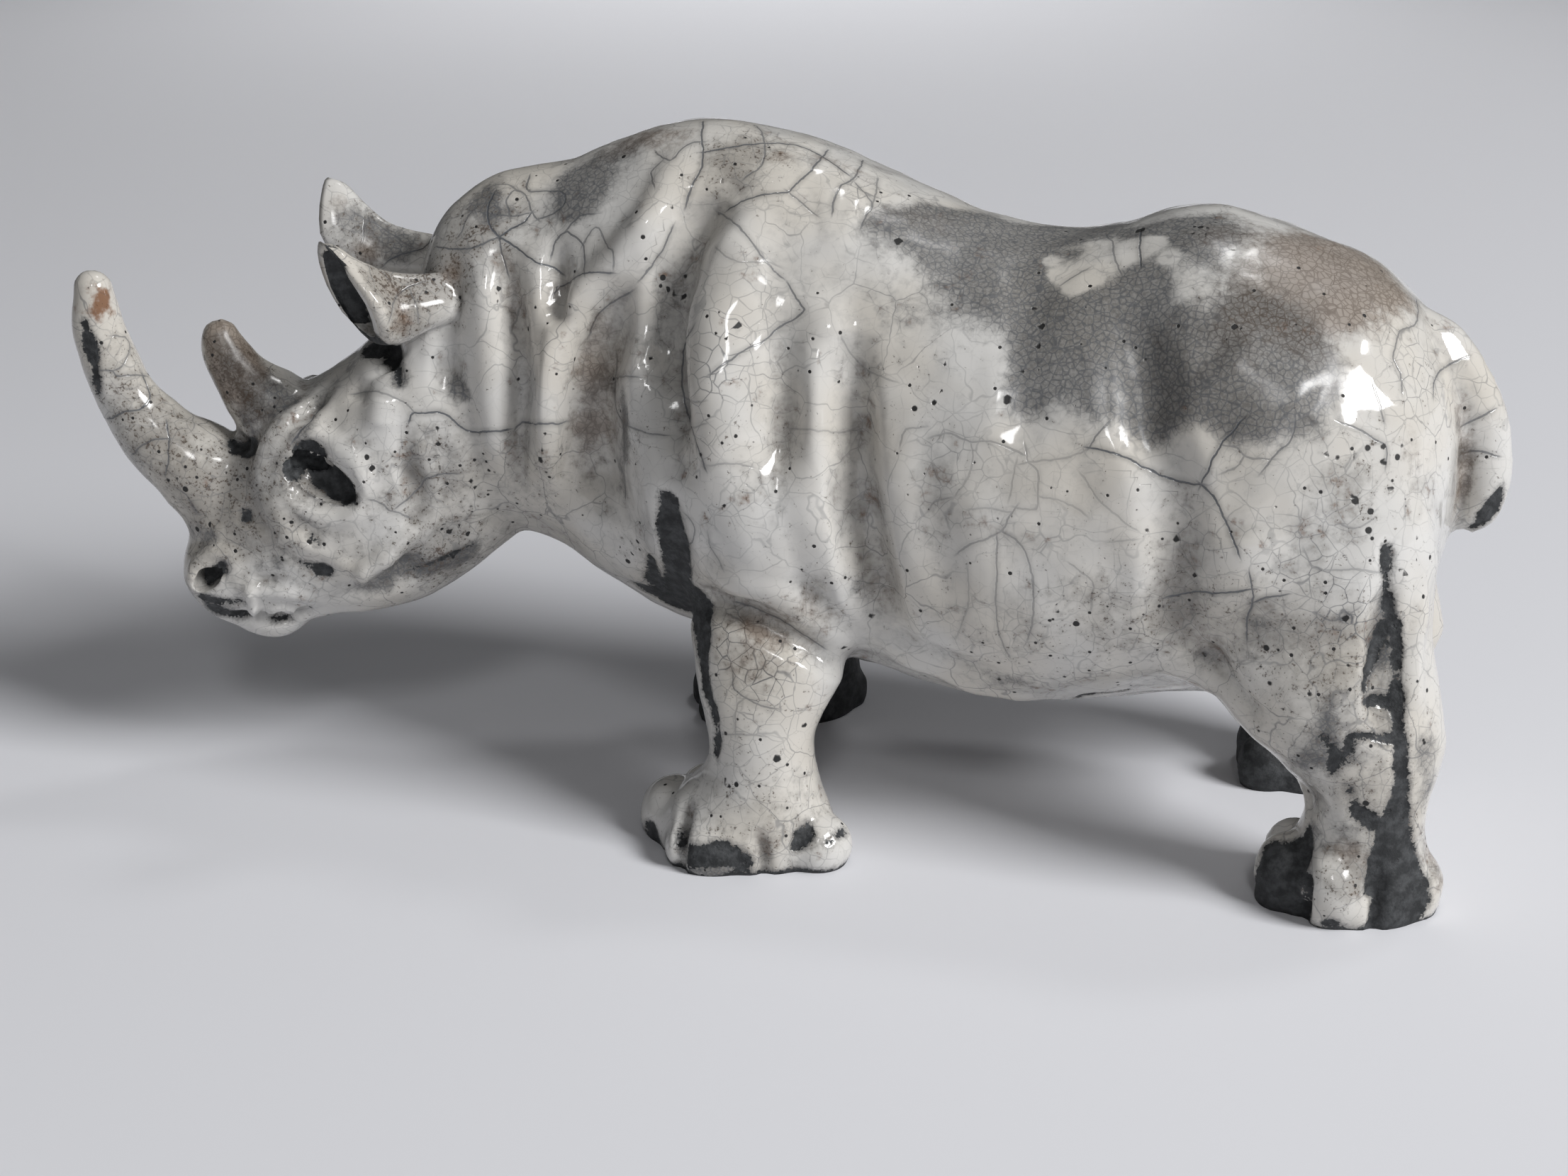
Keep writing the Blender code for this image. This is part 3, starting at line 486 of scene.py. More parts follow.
# Soft patches of x, y, half size in millimetres and amount. A minus takes away.
SMOKE = [
    (1310, 322, 8, 0.9), (1370, 345, 10, 1), (1430, 360, 9, 1), (1400, 418, 11, 0.55),
    (1470, 420, 11, 0.55), (1530, 450, 10, 0.7), (1590, 450, 9, 0.7), (1560, 520, 9, 0.5),
    (1465, 505, 9, 0.5), (1500, 328, 6, 0.8), (1560, 320, 5, 0.9), (1615, 395, 5, 1.5), (1650, 470, 9, 0.5),
    (1650, 535, 8, 1), (1710, 530, 10, 1), (1770, 515, 12, 1), (1835, 540, 10, 1), (1770, 575, 7, 0.8),
    (1690, 345, 7, 0.9), (1740, 400, 9, 0.35), (1800, 450, 12, 0.6), (1620, 335, 6, 0.8),
    (1625, 575, 4, 0.9), (1450, 560, 5, 0.5), (1240, 330, 6, 0.3), (1478, 370, 2.2, -1.1),
    (1494, 388, 2.2, -1.2), (1514, 406, 2.4, -1.1), (1540, 384, 3.2, -1.1), (1568, 366, 2.8, -1.1),
    (1604, 346, 3, -1.5), (1632, 340, 2.6, -1.3), (1648, 362, 1.8, -1.1), (1520, 358, 2, 0.5),
    (1300, 420, 10, 0.25), (1250, 480, 12, 0.2), (835, 235, 9, 0.5), (890, 210, 9, 0.5), (805, 258, 6, 0.7),
    (812, 290, 5, 0.8), (835, 270, 6, 0.5), (697, 300, 4, 0.8), (680, 280, 4, 0.9), (650, 300, 6, 0.35),
    (700, 255, 5, 0.4), (880, 560, 2.6, 0.7), (882, 590, 2.6, 1.2), (884, 622, 3, 1), (878, 660, 2.5, 0.7),
    (905, 490, 5, 0.4), (930, 430, 8, 0.35), (985, 555, 4, 0.35), (1040, 466, 2.5, 0.4), (325, 515, 5, 0.8),
    (350, 555, 5, 0.7), (312, 480, 4, 0.6), (395, 575, 4, 0.6), (385, 540, 4, 0.5), (350, 600, 5, 0.6),
    (520, 325, 8, 0.7), (480, 310, 5, 0.5), (560, 355, 5, 0.6), (575, 340, 5, 0.5), (565, 535, 3.5, 1),
    (645, 545, 3, 0.9), (660, 560, 2, 0.6), (605, 610, 2, 0.6), (612, 640, 2, 0.6), (400, 690, 4, 0.5),
    (430, 730, 4, 0.3), (380, 640, 3, 0.4), (560, 800, 4, 0.9), (600, 805, 4.5, 0.9), (645, 790, 4, 0.9),
    (668, 768, 3, 0.7), (540, 825, 4, 0.7), (500, 835, 4, 0.4), (390, 790, 2, 0.5), (300, 860, 4, 0.9),
    (330, 860, 3, 0.6), (275, 800, 3, 0.5), (285, 765, 4, 0.5), (265, 700, 3, 0.3), (1700, 925, 3, 0.5),
    (1775, 880, 2.5, 0.7), (1765, 930, 3, 0.6), (1895, 870, 2.5, 0.8), (1830, 915, 4, 0.4),
    (1880, 985, 3, 0.6), (1870, 1020, 3, 0.8), (1865, 1060, 5, 0.8), (1835, 1075, 4, 0.6),
    (1935, 1070, 5, 0.6), (1950, 920, 4, 0.9), (1955, 850, 3, 0.7), (1990, 1010, 4, 0.3),
    (1905, 1175, 4, 0.6), (1855, 1175, 3, 0.8), (925, 1180, 4, 0.9), (965, 1180, 3, 0.6),
    (1000, 1225, 8, 0.8), (1045, 1225, 5, 0.7), (1140, 1185, 4, 0.6), (1405, 955, 4, 0.6),
    (1440, 960, 4, 0.6), (1340, 905, 3, 0.2), (870, 800, 4, 0.4), (905, 740, 4, 0.2), (1540, 560, 7, 0.45),
    (1592, 560, 7, 0.55), (1620, 610, 5, 0.4), (1460, 560, 6, 0.3), (440, 600, 2.5, 0.8),
    (425, 620, 2.5, 0.6), (400, 570, 3.5, 0.8), (372, 566, 3, 0.6), (300, 758, 3, 0.6),
    (365, 800, 2.5, 0.7), (395, 800, 2, 0.6), (430, 725, 4, 0.4), (455, 560, 3, 0.5), (270, 745, 3, 0.5),
    (1346, 318, 9, 0.8), (865, 540, 2.6, 0.5), (882, 640, 3, 0.5), (905, 690, 3, 0.4), (880, 690, 3, 0.5),
    (1400, 325, 8, 0.7), (1453, 332, 8, 0.8), (1529, 328, 7, 0.7), (1580, 326, 6, 0.6), (1644, 320, 6, 0.6),
    (1720, 316, 8, 0.6), (1690, 318, 6, 0.5), (1796, 332, 8, 0.35), (1240, 310, 6, 0.4),
    (2010, 1060, 5, 0.75), (2015, 1110, 5, 0.8), (1997, 960, 4, 0.4), (2030, 1230, 4, 0.7),
    # The three patches from (850, 480) to (842, 640) are painted shade in the hollow down the neck.
    (2020, 1180, 4, 0.7), (600, 430, 3, 0.5), (575, 395, 3, 0.4), (850, 480, 7, 0.22), (842, 560, 7, 0.25),
    (842, 640, 7, 0.25), (545, 705, 4, 0.4), (640, 700, 5, 0.4), (2060, 640, 3.5, 0.8), (2055, 600, 3, 0.7),
    (2070, 680, 3, 0.5), (1205, 830, 2.5, 0.7), (1230, 870, 3, 0.4),
]
STAIN = [
    (1890, 365, 10, 1.2), (1935, 395, 9, 1.1), (1850, 430, 9, 0.7), (1900, 435, 7, 0.9),
    (1790, 420, 10, 0.6), (1830, 375, 8, 0.7), (1750, 400, 8, 0.4), (1980, 420, 6, 0.5),
    (1690, 330, 7, 0.4), (1280, 300, 6, 0.6), (1210, 245, 5, 0.6), (1165, 225, 4, 0.4),
    (1100, 222, 3.5, 0.7), (1340, 320, 6, 0.4), (1215, 300, 4, 0.3), (2060, 640, 4, 1), (2055, 600, 4, 0.8),
    (2066, 682, 4, 0.8), (2000, 560, 5, 0.3), (1990, 620, 6, 0.5), (920, 190, 7, 0.7), (965, 190, 6, 0.5),
    (880, 205, 7, 0.6), (950, 235, 4, 0.3), (840, 230, 7, 0.3), (1150, 865, 5, 0.4), (1125, 858, 4, 0.3),
    (1010, 890, 4, 0.4), (1065, 892, 5, 0.5), (1080, 935, 8, 0.3), (1045, 915, 7, 0.3),
    (1110, 930, 6, 0.35), (1150, 960, 4, 0.4), (985, 915, 3, 0.5), (1040, 945, 5, 0.3), (640, 382, 3, 0.8),
    (660, 420, 3, 0.5), (480, 285, 3, 0.7), (470, 310, 4, 0.5), (700, 360, 4, 0.3), (312, 475, 4, 1),
    (325, 520, 5, 0.6), (370, 590, 4, 0.4), (330, 560, 4, 0.4), (560, 465, 3, 0.5), (510, 350, 3, 0.5),
    (245, 640, 4, 0.3), (190, 615, 3, 0.4), (170, 570, 3, 0.3), (430, 545, 4, 0.3), (1905, 1200, 3.5, 0.9),
    (1940, 1215, 2.5, 0.7), (2020, 1205, 3.5, 1), (2032, 1245, 3.5, 1), (2005, 1170, 3, 0.6),
    (1935, 1080, 4, 0.4), (1000, 1175, 4, 0.3), (1085, 1170, 5, 0.4), (1180, 1190, 4, 0.5),
    (1150, 1150, 4, 0.3), (1375, 830, 4, 0.3), (1255, 845, 4, 0.3), (1530, 870, 4, 0.4),
    (1540, 920, 4, 0.4), (1700, 900, 4, 0.3), (1720, 320, 8, 0.4), (1796, 335, 9, 0.5), (1873, 352, 9, 0.6),
    # The patches from (840, 520) to (812, 660), and from (850, 470) to (842, 610) further on, are painted
    # shade in the hollow down the neck, tinted brown.
    (1940, 372, 8, 0.6), (1900, 400, 12, 0.3), (840, 520, 5, 0.5), (825, 600, 5, 0.5), (812, 660, 4, 0.5),
    (1970, 700, 8, 0.2), (1400, 760, 12, 0.15), (330, 495, 7, 1.2), (345, 545, 7, 0.8), (322, 470, 5, 1),
    (520, 360, 4, 0.8), (545, 400, 4, 0.7), (565, 445, 4, 0.7), (600, 385, 5, 0.4), (850, 470, 6, 0.35),
    (845, 540, 6, 0.4), (842, 610, 6, 0.4), (780, 420, 7, 0.3), (720, 430, 6, 0.25), (1700, 500, 14, 0.35),
    (1800, 520, 14, 0.4), (1880, 540, 8, 0.3), (330, 540, 7, 0.6), (520, 345, 7, 0.5), (610, 320, 8, 0.5),
    (640, 300, 6, 0.4), (200, 560, 8, 0.25), (1610, 765, 3, 0.4), (1690, 690, 5, 0.2), (2010, 880, 4, 0.5),
    (1995, 800, 4, 0.3), (760, 250, 5, 0.3),
]
RUST = [
    (140, 425, 2.6, 1.5), (150, 418, 1.8, 1.2), (128, 440, 1.8, 1), (142, 445, 1.8, 1), (106, 432, 2, 1),
    (118, 405, 2.5, 0.6), (160, 440, 2, 0.6),
]
# Wide areas with specks and grime in the glaze; some of them are painted shade.
DIRT_AND_SHADE = [
    (1750, 870, 22, 0.6), (1650, 850, 12, 0.4), (1900, 930, 16, 0.7), (1880, 1100, 18, 0.8),
    (1060, 1170, 22, 0.75), (1060, 920, 13, 0.7), (340, 740, 20, 1.0), (600, 720, 18, 0.6),
    # The patches at (1050, 600) and (1050, 720) are painted shade on the shoulder and upper arm; those at
    # (1290, 800) and (780, 690) are painted shade on the low flank and the low neck.
    (330, 550, 12, 1.1), (190, 600, 12, 0.8), (1050, 600, 16, 0.35), (1050, 720, 14, 0.3),
    (1290, 800, 14, 0.4), (780, 690, 10, 0.5), (1890, 1260, 6, 0.5), (335, 510, 8, 1), (190, 600, 10, 0.3),
    (620, 800, 10, 0.4), (1030, 235, 9, 0.6), (1080, 200, 8, 0.5), (2020, 540, 10, 0.4), (565, 415, 9, 1),
    (600, 395, 8, 0.8), (530, 390, 6, 0.9), (610, 640, 12, 0.6), (2020, 1130, 10, 0.9), (160, 500, 10, 0.7),
    (260, 690, 12, 0.6), (620, 800, 12, 0.9), (660, 330, 12, 0.8), (1030, 225, 9, 0.6), (500, 330, 12, 0.9),
    (1530, 870, 14, 0.6), (1930, 680, 12, 0.6), (1180, 830, 9, 0.6), (900, 790, 9, 0.6),
    (1990, 1180, 10, 0.8), (1905, 1240, 6, 0.7), (520, 330, 6, 0.6), (2080, 650, 10, 0.6),
    (700, 300, 10, 0.6), (640, 400, 8, 0.5), (890, 620, 8, 0.6), (430, 650, 12, 0.7), (1400, 930, 14, 0.4),
    (1270, 540, 10, 0.4), (770, 660, 6, 0.5), (560, 480, 7, 0.7),
]
# Where pinholes crowd.
PITS = [
    (650, 690, 8, 1), (680, 700, 5, 0.8), (640, 740, 5, 0.9), (620, 770, 4, 0.9), (560, 650, 5, 0.6),
    (260, 690, 5, 0.7), (240, 640, 4, 0.7), (280, 740, 4, 0.9), (230, 590, 3, 0.8), (450, 735, 5, 0.5),
    (760, 650, 3, 0.9), (740, 480, 4, 0.3), (520, 660, 2.5, 1), (425, 750, 3, 0.6), (310, 640, 4, 0.3),
    (590, 800, 5, 0.9), (640, 785, 5, 0.8), (905, 720, 5, 0.6), (890, 780, 4, 0.9), (880, 660, 4, 0.6),
    (960, 410, 3, 0.8), (950, 380, 3, 0.6), (1560, 860, 9, 0.6), (1590, 880, 5, 0.6), (1500, 870, 5, 0.4),
    (1285, 560, 4, 0.7), (1300, 530, 4, 0.5), (1900, 650, 7, 0.6), (1930, 640, 5, 0.7), (1955, 700, 5, 0.6),
    (1960, 740, 4, 0.5), (1980, 800, 4, 0.7), (1690, 325, 3, 1), (1800, 960, 5, 0.5), (1870, 970, 4, 0.7),
    (1890, 980, 4, 0.7), (1940, 1050, 4, 0.8), (1935, 1130, 3, 1), (1180, 820, 3, 0.6), (1610, 760, 3, 0.6),
    (1745, 460, 2, 0.8), (1470, 460, 2, 0.8),
]
# Single holes in the glaze: x, y and radius in millimetres.
HOLES = [
    (1460, 435, 0.8), (1468, 461, 0.9), (1464, 488, 0.8), (1427, 466, 0.7), (1440, 524, 0.7),
    (1421, 564, 1), (1332, 513, 0.5), (1327, 552, 0.5), (1375, 651, 0.5), (1311, 717, 0.5),
    (1617, 507, 0.6), (1741, 461, 0.7), (1732, 478, 0.5), (1682, 312, 0.7), (1693, 320, 0.7),
    (1699, 332, 0.7), (1680, 330, 0.6), (1716, 312, 0.6), (1609, 326, 1.2), (1739, 351, 0.5),
    (1890, 454, 0.5), (1827, 458, 0.4), (1911, 641, 0.7), (1913, 658, 0.6), (1912, 707, 0.8),
    (1906, 699, 0.6), (1951, 629, 0.7), (1951, 652, 0.8), (1961, 690, 0.8), (1871, 641, 0.6),
    (1999, 656, 0.5), (1999, 683, 0.5), (2048, 599, 0.6), (1533, 723, 0.5), (1482, 687, 0.4),
    (1750, 716, 0.6), (1637, 730, 0.6), (1605, 720, 0.4), (946, 292, 0.8), (1021, 256, 0.7),
    (1049, 240, 0.5), (951, 413, 0.7), (957, 421, 0.6), (968, 417, 0.6), (1043, 459, 0.8), (1034, 468, 0.7),
    (1024, 476, 0.6), (1009, 513, 0.5), (1267, 342, 1), (1290, 435, 0.6), (1290, 451, 0.6), (919, 505, 0.7),
    (898, 459, 0.5), (703, 408, 0.8), (704, 428, 0.7), (765, 633, 0.7), (768, 613, 0.6), (763, 648, 0.8),
    (770, 666, 0.6), (1090, 297, 0.4), (1151, 583, 0.4), (1295, 520, 0.5), (1298, 543, 0.5),
    (525, 661, 0.8), (182, 456, 0.7), (185, 475, 0.6), (249, 677, 0.7), (237, 677, 0.6), (285, 620, 0.6),
    (616, 605, 0.7), (617, 625, 0.8), (616, 645, 0.7), (620, 662, 0.7), (664, 677, 0.6), (671, 688, 0.6),
    (691, 692, 0.6), (628, 744, 0.6), (612, 755, 0.6), (636, 755, 0.7), (648, 744, 0.6), (1021, 714, 0.6),
    (1064, 721, 0.6), (1131, 749, 0.6), (1067, 874, 0.7), (1088, 884, 0.6), (1231, 868, 0.9),
    (1245, 885, 0.7), (1191, 913, 0.8), (1096, 1070, 1), (1136, 1024, 0.8), (1021, 1102, 0.8),
    (1027, 1110, 0.7), (1036, 1135, 0.5), (1490, 862, 0.7), (1409, 957, 0.6), (1376, 651, 0.5),
    (1660, 760, 0.9), (1684, 812, 0.6), (1659, 841, 0.6), (1953, 812, 0.8), (1982, 811, 0.6),
    (1975, 805, 0.6), (1998, 757, 0.6), (1897, 873, 0.9), (1808, 835, 0.6), (1700, 923, 0.7),
    (1777, 943, 0.6), (1808, 1000, 0.6), (1752, 715, 0.5),
]
# Where a finer net of cracks shows in the clean glaze.
CRACKLE = [
    (1060, 925, 13, 0.85), (1100, 950, 8, 0.6), (1020, 905, 6, 0.5), (1060, 1060, 14, 0.4),
    (1050, 1150, 12, 0.5), (985, 560, 6, 0.9), (995, 620, 6, 0.8), (1010, 500, 8, 0.7),
    (1040, 430, 12, 0.5), (1090, 480, 9, 0.4), (880, 600, 5, 1.1), (885, 660, 5, 0.9), (1020, 880, 8, 0.4),
    (1990, 480, 10, 0.7), (2010, 560, 9, 0.8), (1960, 600, 8, 0.5), (1800, 620, 12, 0.5),
    (1830, 780, 14, 0.6), (1900, 860, 12, 0.8), (1700, 850, 12, 0.4), (1400, 660, 14, 0.4),
    (1330, 620, 10, 0.4), (900, 240, 12, 0.7), (760, 300, 10, 0.5), (590, 400, 9, 0.8), (560, 330, 8, 0.8),
    (190, 600, 9, 0.6), (250, 680, 9, 0.5), (450, 780, 9, 0.3), (1950, 900, 10, 0.7), (1540, 900, 12, 0.4),
    (1380, 900, 9, 0.5), (1200, 250, 8, 0.8), (1240, 300, 8, 0.8), (2080, 560, 8, 0.5),
]

PATCHES = {
    "smoke": SMOKE,
    "stain": STAIN,
    "rust": RUST,
    "dirt_and_shade": DIRT_AND_SHADE,
    "pits": PITS,
    "crackle": CRACKLE,
}

# Small relief over the sculpture: half width, height (a minus cuts in), both in millimetres, and
# the line.
RIDGES = [
    # Round the nostril, the drip beside it, and the lips.
    (2.4, 0.9, [(276, 826), (270, 806), (280, 786), (300, 777), (322, 784), (332, 803), (325, 822)]),
    (1.9, 1.9, [(342, 826), (352, 834), (357, 854), (361, 880)]),
    (3, 1.3, [(340, 826), (375, 830), (410, 836), (444, 846)]),
    (1.8, 1.2, [(372, 872), (382, 858), (402, 855), (420, 862), (426, 874)]),
    (2.2, -1.3, [(384, 872), (400, 868), (414, 872)]),
    # The ledge of thick glaze along the cheek, with its drip.
    (3.2, 1.3, [(452, 782), (480, 797), (505, 806), (530, 796), (560, 772), (590, 735), (602, 700)]),
    (2.2, 1.1, [(512, 794), (514, 808), (512, 826)]),
    (4.5, -1.6, [(548, 808), (585, 786), (620, 762), (650, 744)]),
    # Knobs behind the eye and below the ear.
    (5, 1.6, [(541, 556), (536, 580), (534, 606)]),
    (4.5, 1.1, [(590, 626), (598, 650), (600, 676)]),
    (5, 1.2, [(640, 612), (652, 640), (650, 672)]),
    (4, -1.0, [(566, 600), (572, 640), (566, 676)]),
    # The lids and the brow.
    (2.2, 1.2, [(452, 572), (428, 598), (408, 630), (400, 668), (408, 700), (432, 722), (462, 732)]),
    (2.4, 0.8, [(470, 610), (492, 628), (506, 656), (512, 690), (506, 712)]),
    (2.6, -1.1, [(458, 556), (436, 584), (420, 606)]),
    (3, 0.8, [(380, 606), (366, 640), (360, 680)]),
    (3, -0.7, [(384, 640), (376, 676), (380, 710)]),
    # The shallow between the neck and the shoulder, and the top of the hump.
    (7, -1.6, [(872, 440), (852, 500), (842, 570), (840, 640), (846, 700)]),
    (3.5, -2, [(838, 455), (824, 500), (816, 550), (808, 610), (800, 660), (796, 700)]),
    (9, -1.5, [(1584, 440), (1588, 500), (1594, 560), (1600, 650)]),
    (11, 0.9, [(1150, 300), (1182, 300), (1215, 310)]),
    (6, 0.9, [(1165, 430), (1172, 455), (1176, 480)]),
    # Across the muzzle and round the root of the front horn.
    (3.5, 0.8, [(330, 730), (352, 752), (382, 762), (420, 764)]),
    (3, -0.8, [(400, 742), (432, 752), (458, 766)]),
    (3.5, 0.7, [(262, 742), (288, 748), (312, 762)]),
    (3, -0.6, [(270, 764), (300, 762), (330, 776)]),
]

# How the marks are laid, in millimetres.
MARK_STEPS = 5  # spots between two of a mark's points
MARK_REACH = 9  # how far beyond its edge a mark is still measured
BARE_RAGGED = ((5, 0.9), (2.2, 0.5))  # sizes and reaches of the ragged edge of the bare clay
CRACK_CHANNELS = 12  # in threes
CRACK_APART = 7.2  # cracks nearer than this never share a channel
CRACK_FADES = (2.1, 3.5)  # from where to where beside its line a crack's strength fades
CRACK_TIP = 1.6  # how far past its end a crack fades out
CRACK_WOBBLE = 0.9
CRACK_LINE = (0.1, 0.3)  # a crack's line, from full to nothing
CRACK_HALO = (0.1, 1.5)
CALM_REACH = 5  # how near its drawn cracks the net of small ones is kept back
HOLLOW_STEPS = 40  # times that the skin is softened to find its hollows
HOLLOW_DEPTH = 0.7
GLAZE_EDGE = 1.4  # the width over which the glaze rises from the clay
GLAZE_THICKNESS = 0.55
FOOT_FADE = 3  # the height over which the relief fades out towards the soles
PATCH_REACH = 2.5  # times its half size
FACING_SHARE = (2, 0.6)  # how fast a patch fades where the skin turns away from it
CRACK_FACING = 0.2  # a crack stays off skin that faces further away from its own
SEED_SHIFT = (17.3, 5.1, 9.7)  # how far the noise moves for each step of its seed
HAND_SEED = 3
HAND_MARKS = ((18, 0.7), (9, 0.45), (5, 0.15))  # sizes and heights of the unevenness left by the hands

# Colours of the glaze and the clay, and of what marks them.
CLEAN_GLAZE = (0.60, 0.59, 0.57, 1)
CREAM_GLAZE = (0.57, 0.54, 0.49, 1)
# The grey is a random mottle and, in the hollows and folds, painted shade; the dirty colour is grime and,
# in the hollows and in some wide patches, painted shade.
GREY_GLAZE = (0.33, 0.325, 0.315, 1)
DIRTY_AND_SHADED_GLAZE = (0.185, 0.17, 0.15, 1)
STAINED_GLAZE = (0.19, 0.143, 0.108, 1)
SMOKED_GLAZE = (0.095, 0.092, 0.088, 1)
VEILED_GLAZE = (0.205, 0.2, 0.192, 1)
RUSTED_GLAZE = (0.19, 0.085, 0.036, 1)
CRACK_BLACK = (0.072, 0.08, 0.093, 1)
CRACK_BROWN = (0.055, 0.035, 0.022, 1)
PINHOLE_BLACK = (0.012, 0.012, 0.012, 1)
CLAY_DARK = (0.014, 0.0155, 0.017, 1)
CLAY_LIGHT = (0.055, 0.058, 0.061, 1)
CLAY_ROUGHNESS = 0.68
GLAZE_ROUGHNESS = 0.05  # with what unevenness, smoke and stain, dirt and holes add to it
UNEVEN_ROUGHNESS = 0.08
SMOKED_ROUGHNESS = 0.2
SOILED_ROUGHNESS = 0.06
HOLE_ROUGHNESS = 0.5

# How fully each mark covers the glaze.
SOILED_AND_SHADED_SHARE = 0.62
STAINED_SHARE = 0.7
SMOKED_SHARE = 0.82
RUSTED_SHARE = 0.9
HALO_SHARE = 0.35
THIN_SHARE = 0.5
SPECK_SHARE = 0.75
CRACK_SHARE = 0.85

# The level at which each mark starts to show and the one at which it is full.
SHOWS_BETWEEN = {
    "smoke": (0.25, 1.15),
    "stain": (0.15, 1.1),
    "rust": (0.5, 1.6),
    "soiled": (0.25, 1.2),
    "bare": (0.18, -0.18),
    "thin": (1.3, 0.1),
}

# The noises that make the marks ragged: the size of their waves in millimetres, detail, roughness.
NOISES = {
    "broad": (30, 2),
    "cloud": (10, 3, 0.6),
    "grain": (2.4, 3, 0.65),
    "speck": (0.65, 2, 0.6),
}

# The nets of fine cracks and the pinholes: the size of their cells, and how far from the middle of
# the line or hole it starts to show and is full, all in millimetres.
WIDE_NET = (12, 0.2, 0.03)
MIDDLE_NET = (4, 0.16, 0.02)
FINE_NET = (1.6, 0.2, 0.02)
NET_BEND = (7, 5)  # size and reach of the noise that bends the nets
SMALL_HOLES = (2.8, 0.48, 0.3)
CROWDED_HOLES = (4.5, 0.8, 0.55)
SCATTERED_HOLES = (9, 0.75, 0.5)
SET_HOLES = (0.15, -0.15)  # from the rim

# Relief too small for the mesh: its unit in millimetres, and heights and depths in that unit.
RELIEF_UNIT = 0.4
RELIEF_STRENGTH = 0.6
WAVES = (5, 1, 0.75)  # size, detail and height
CRACK_DEPTH = 0.3
HOLE_DEPTH = 1.2
CLAY_DEPTH = 1.0
CLAY_EDGE = (0.4, -0.4)  # from where to where the relief drops to the clay's
GRIT_HEIGHT = 0.7

# The stage: the floor, the lights and the room's own light.
FLOOR_SIZE = 8
FLOOR_COLOUR = (0.76, 0.765, 0.80, 1)
FLOOR_ROUGHNESS = 0.9
FLOOR_SHEEN = 0.1
FIGURE_AIM = (0.0, 0.0, 0.06)
FAR_FLOOR_AIM = (-0.42, 1.5, 0.0)
# Each light: its name, where it aims, azimuth, elevation, distance, size, spread and power.
LIGHTS = [
    ("window", FIGURE_AIM, -18, 36, 3.6, (1.4, 1.25), 180, 136),
    ("side_window", FIGURE_AIM, -75, 40, 2.2, (0.3, 0.36), 180, 5.5),
    ("skylight", FIGURE_AIM, 56, 66, 2.6, (0.34, 0.34), 180, 5),
    ("floor_light", FAR_FLOOR_AIM, 90, 60, 1.2, (0.8, 0.8), 60, 1.6),
]
ROOM_COLOUR = (0.95, 0.97, 1.0, 1)
ROOM_STRENGTH = 0.045


def new_object(name, mesh):
    obj = bpy.data.objects.new(name, mesh)
    bpy.context.scene.collection.objects.link(obj)
    return obj


def places_of(mesh):
    found = np.empty(len(mesh.vertices) * 3, np.float32)
    mesh.vertices.foreach_get("co", found)
    return found.reshape(-1, 3).astype(float)


def normals_of(mesh):
    found = np.empty(len(mesh.vertices) * 3, np.float32)
    mesh.vertex_normals.foreach_get("vector", found)
    return found.reshape(-1, 3).astype(float)


def set_places(mesh, places):
    mesh.vertices.foreach_set("co", places.astype(np.float32).ravel())
    mesh.update()


def tree_of(mesh, places):
    return BVHTree.FromPolygons(places.tolist(), [p.vertices for p in mesh.polygons])


def smooth_rows(rows, steps):
    """The rows with steps more rows between each two, on a Catmull-Rom curve."""
    table = np.array(rows, float)
    padded = np.vstack([2 * table[0] - table[1], table, 2 * table[-1] - table[-2]])
    found = []
    for i in range(1, len(table)):
        before, start, end, after = padded[i - 1 : i + 3]
        for t in np.linspace(0, 1, steps, endpoint=False):
            found.append(
                0.5
                * (
                    2 * start
                    + (end - before) * t
                    + (2 * before - 5 * start + 4 * end - after) * t**2
                    + (3 * start - before - 3 * end + after) * t**3
                )
            )
    found.append(table[-1])
    return np.array(found)


def loft(name, rings):
    """A closed body through rings of points, with a point in the middle of each end."""
    mesh = bmesh.new()
    made = [[mesh.verts.new(point) for point in ring] for ring in rings]
    count = len(made[0])
    for first, second in zip(made, made[1:]):
        for i in range(count):
            j = (i + 1) % count
            mesh.faces.new((first[i], first[j], second[j], second[i]))
    for ring in (made[0], made[-1]):
        middle = mesh.verts.new(sum((v.co for v in ring), Vector()) / count)
        for i in range(count):
            mesh.faces.new((ring[i], ring[(i + 1) % count], middle))
    bmesh.ops.recalc_face_normals(mesh, faces=mesh.faces)
    data = bpy.data.meshes.new(name)
    mesh.to_mesh(data)
    mesh.free()
    return new_object(name, data)


def rounded(angle, power):
    """Cosine and sine of the angle, squared off by the power: 2 is a circle."""
    c, s = math.cos(angle), math.sin(angle)
    return (
        math.copysign(abs(c) ** (2 / power), c),
        math.copysign(abs(s) ** (2 / power), s),
    )


def upright_rings(rows, power):
    """Rings across X, one for each row of a trunk or head table."""
    for x, middle, low, widest, top, half_width in smooth_rows(rows, LOFT_STEPS):
        ring = []
        for i in range(RING):
            across, up = rounded(2 * math.pi * i / RING, power)
            reach = top - widest if up > 0 else widest - low
            ring.append((x, middle + half_width * across, widest + reach * up))
        yield ring


def level_rings(rows, side, step):
    """Rings across Z, one for each row of a leg table."""
    ahead, outwards, fades_at = step
    for z, x, y, half_length, half_width in smooth_rows(rows, LOFT_STEPS):
        share = min(1, max(0, 1 - z / fades_at))
        yield [
            (
                x + ahead * share + half_length * math.cos(2 * math.pi * i / RING),
                side * (y + outwards * share + half_width * math.sin(2 * math.pi * i / RING)),
                z,
            )
            for i in range(RING)
        ]


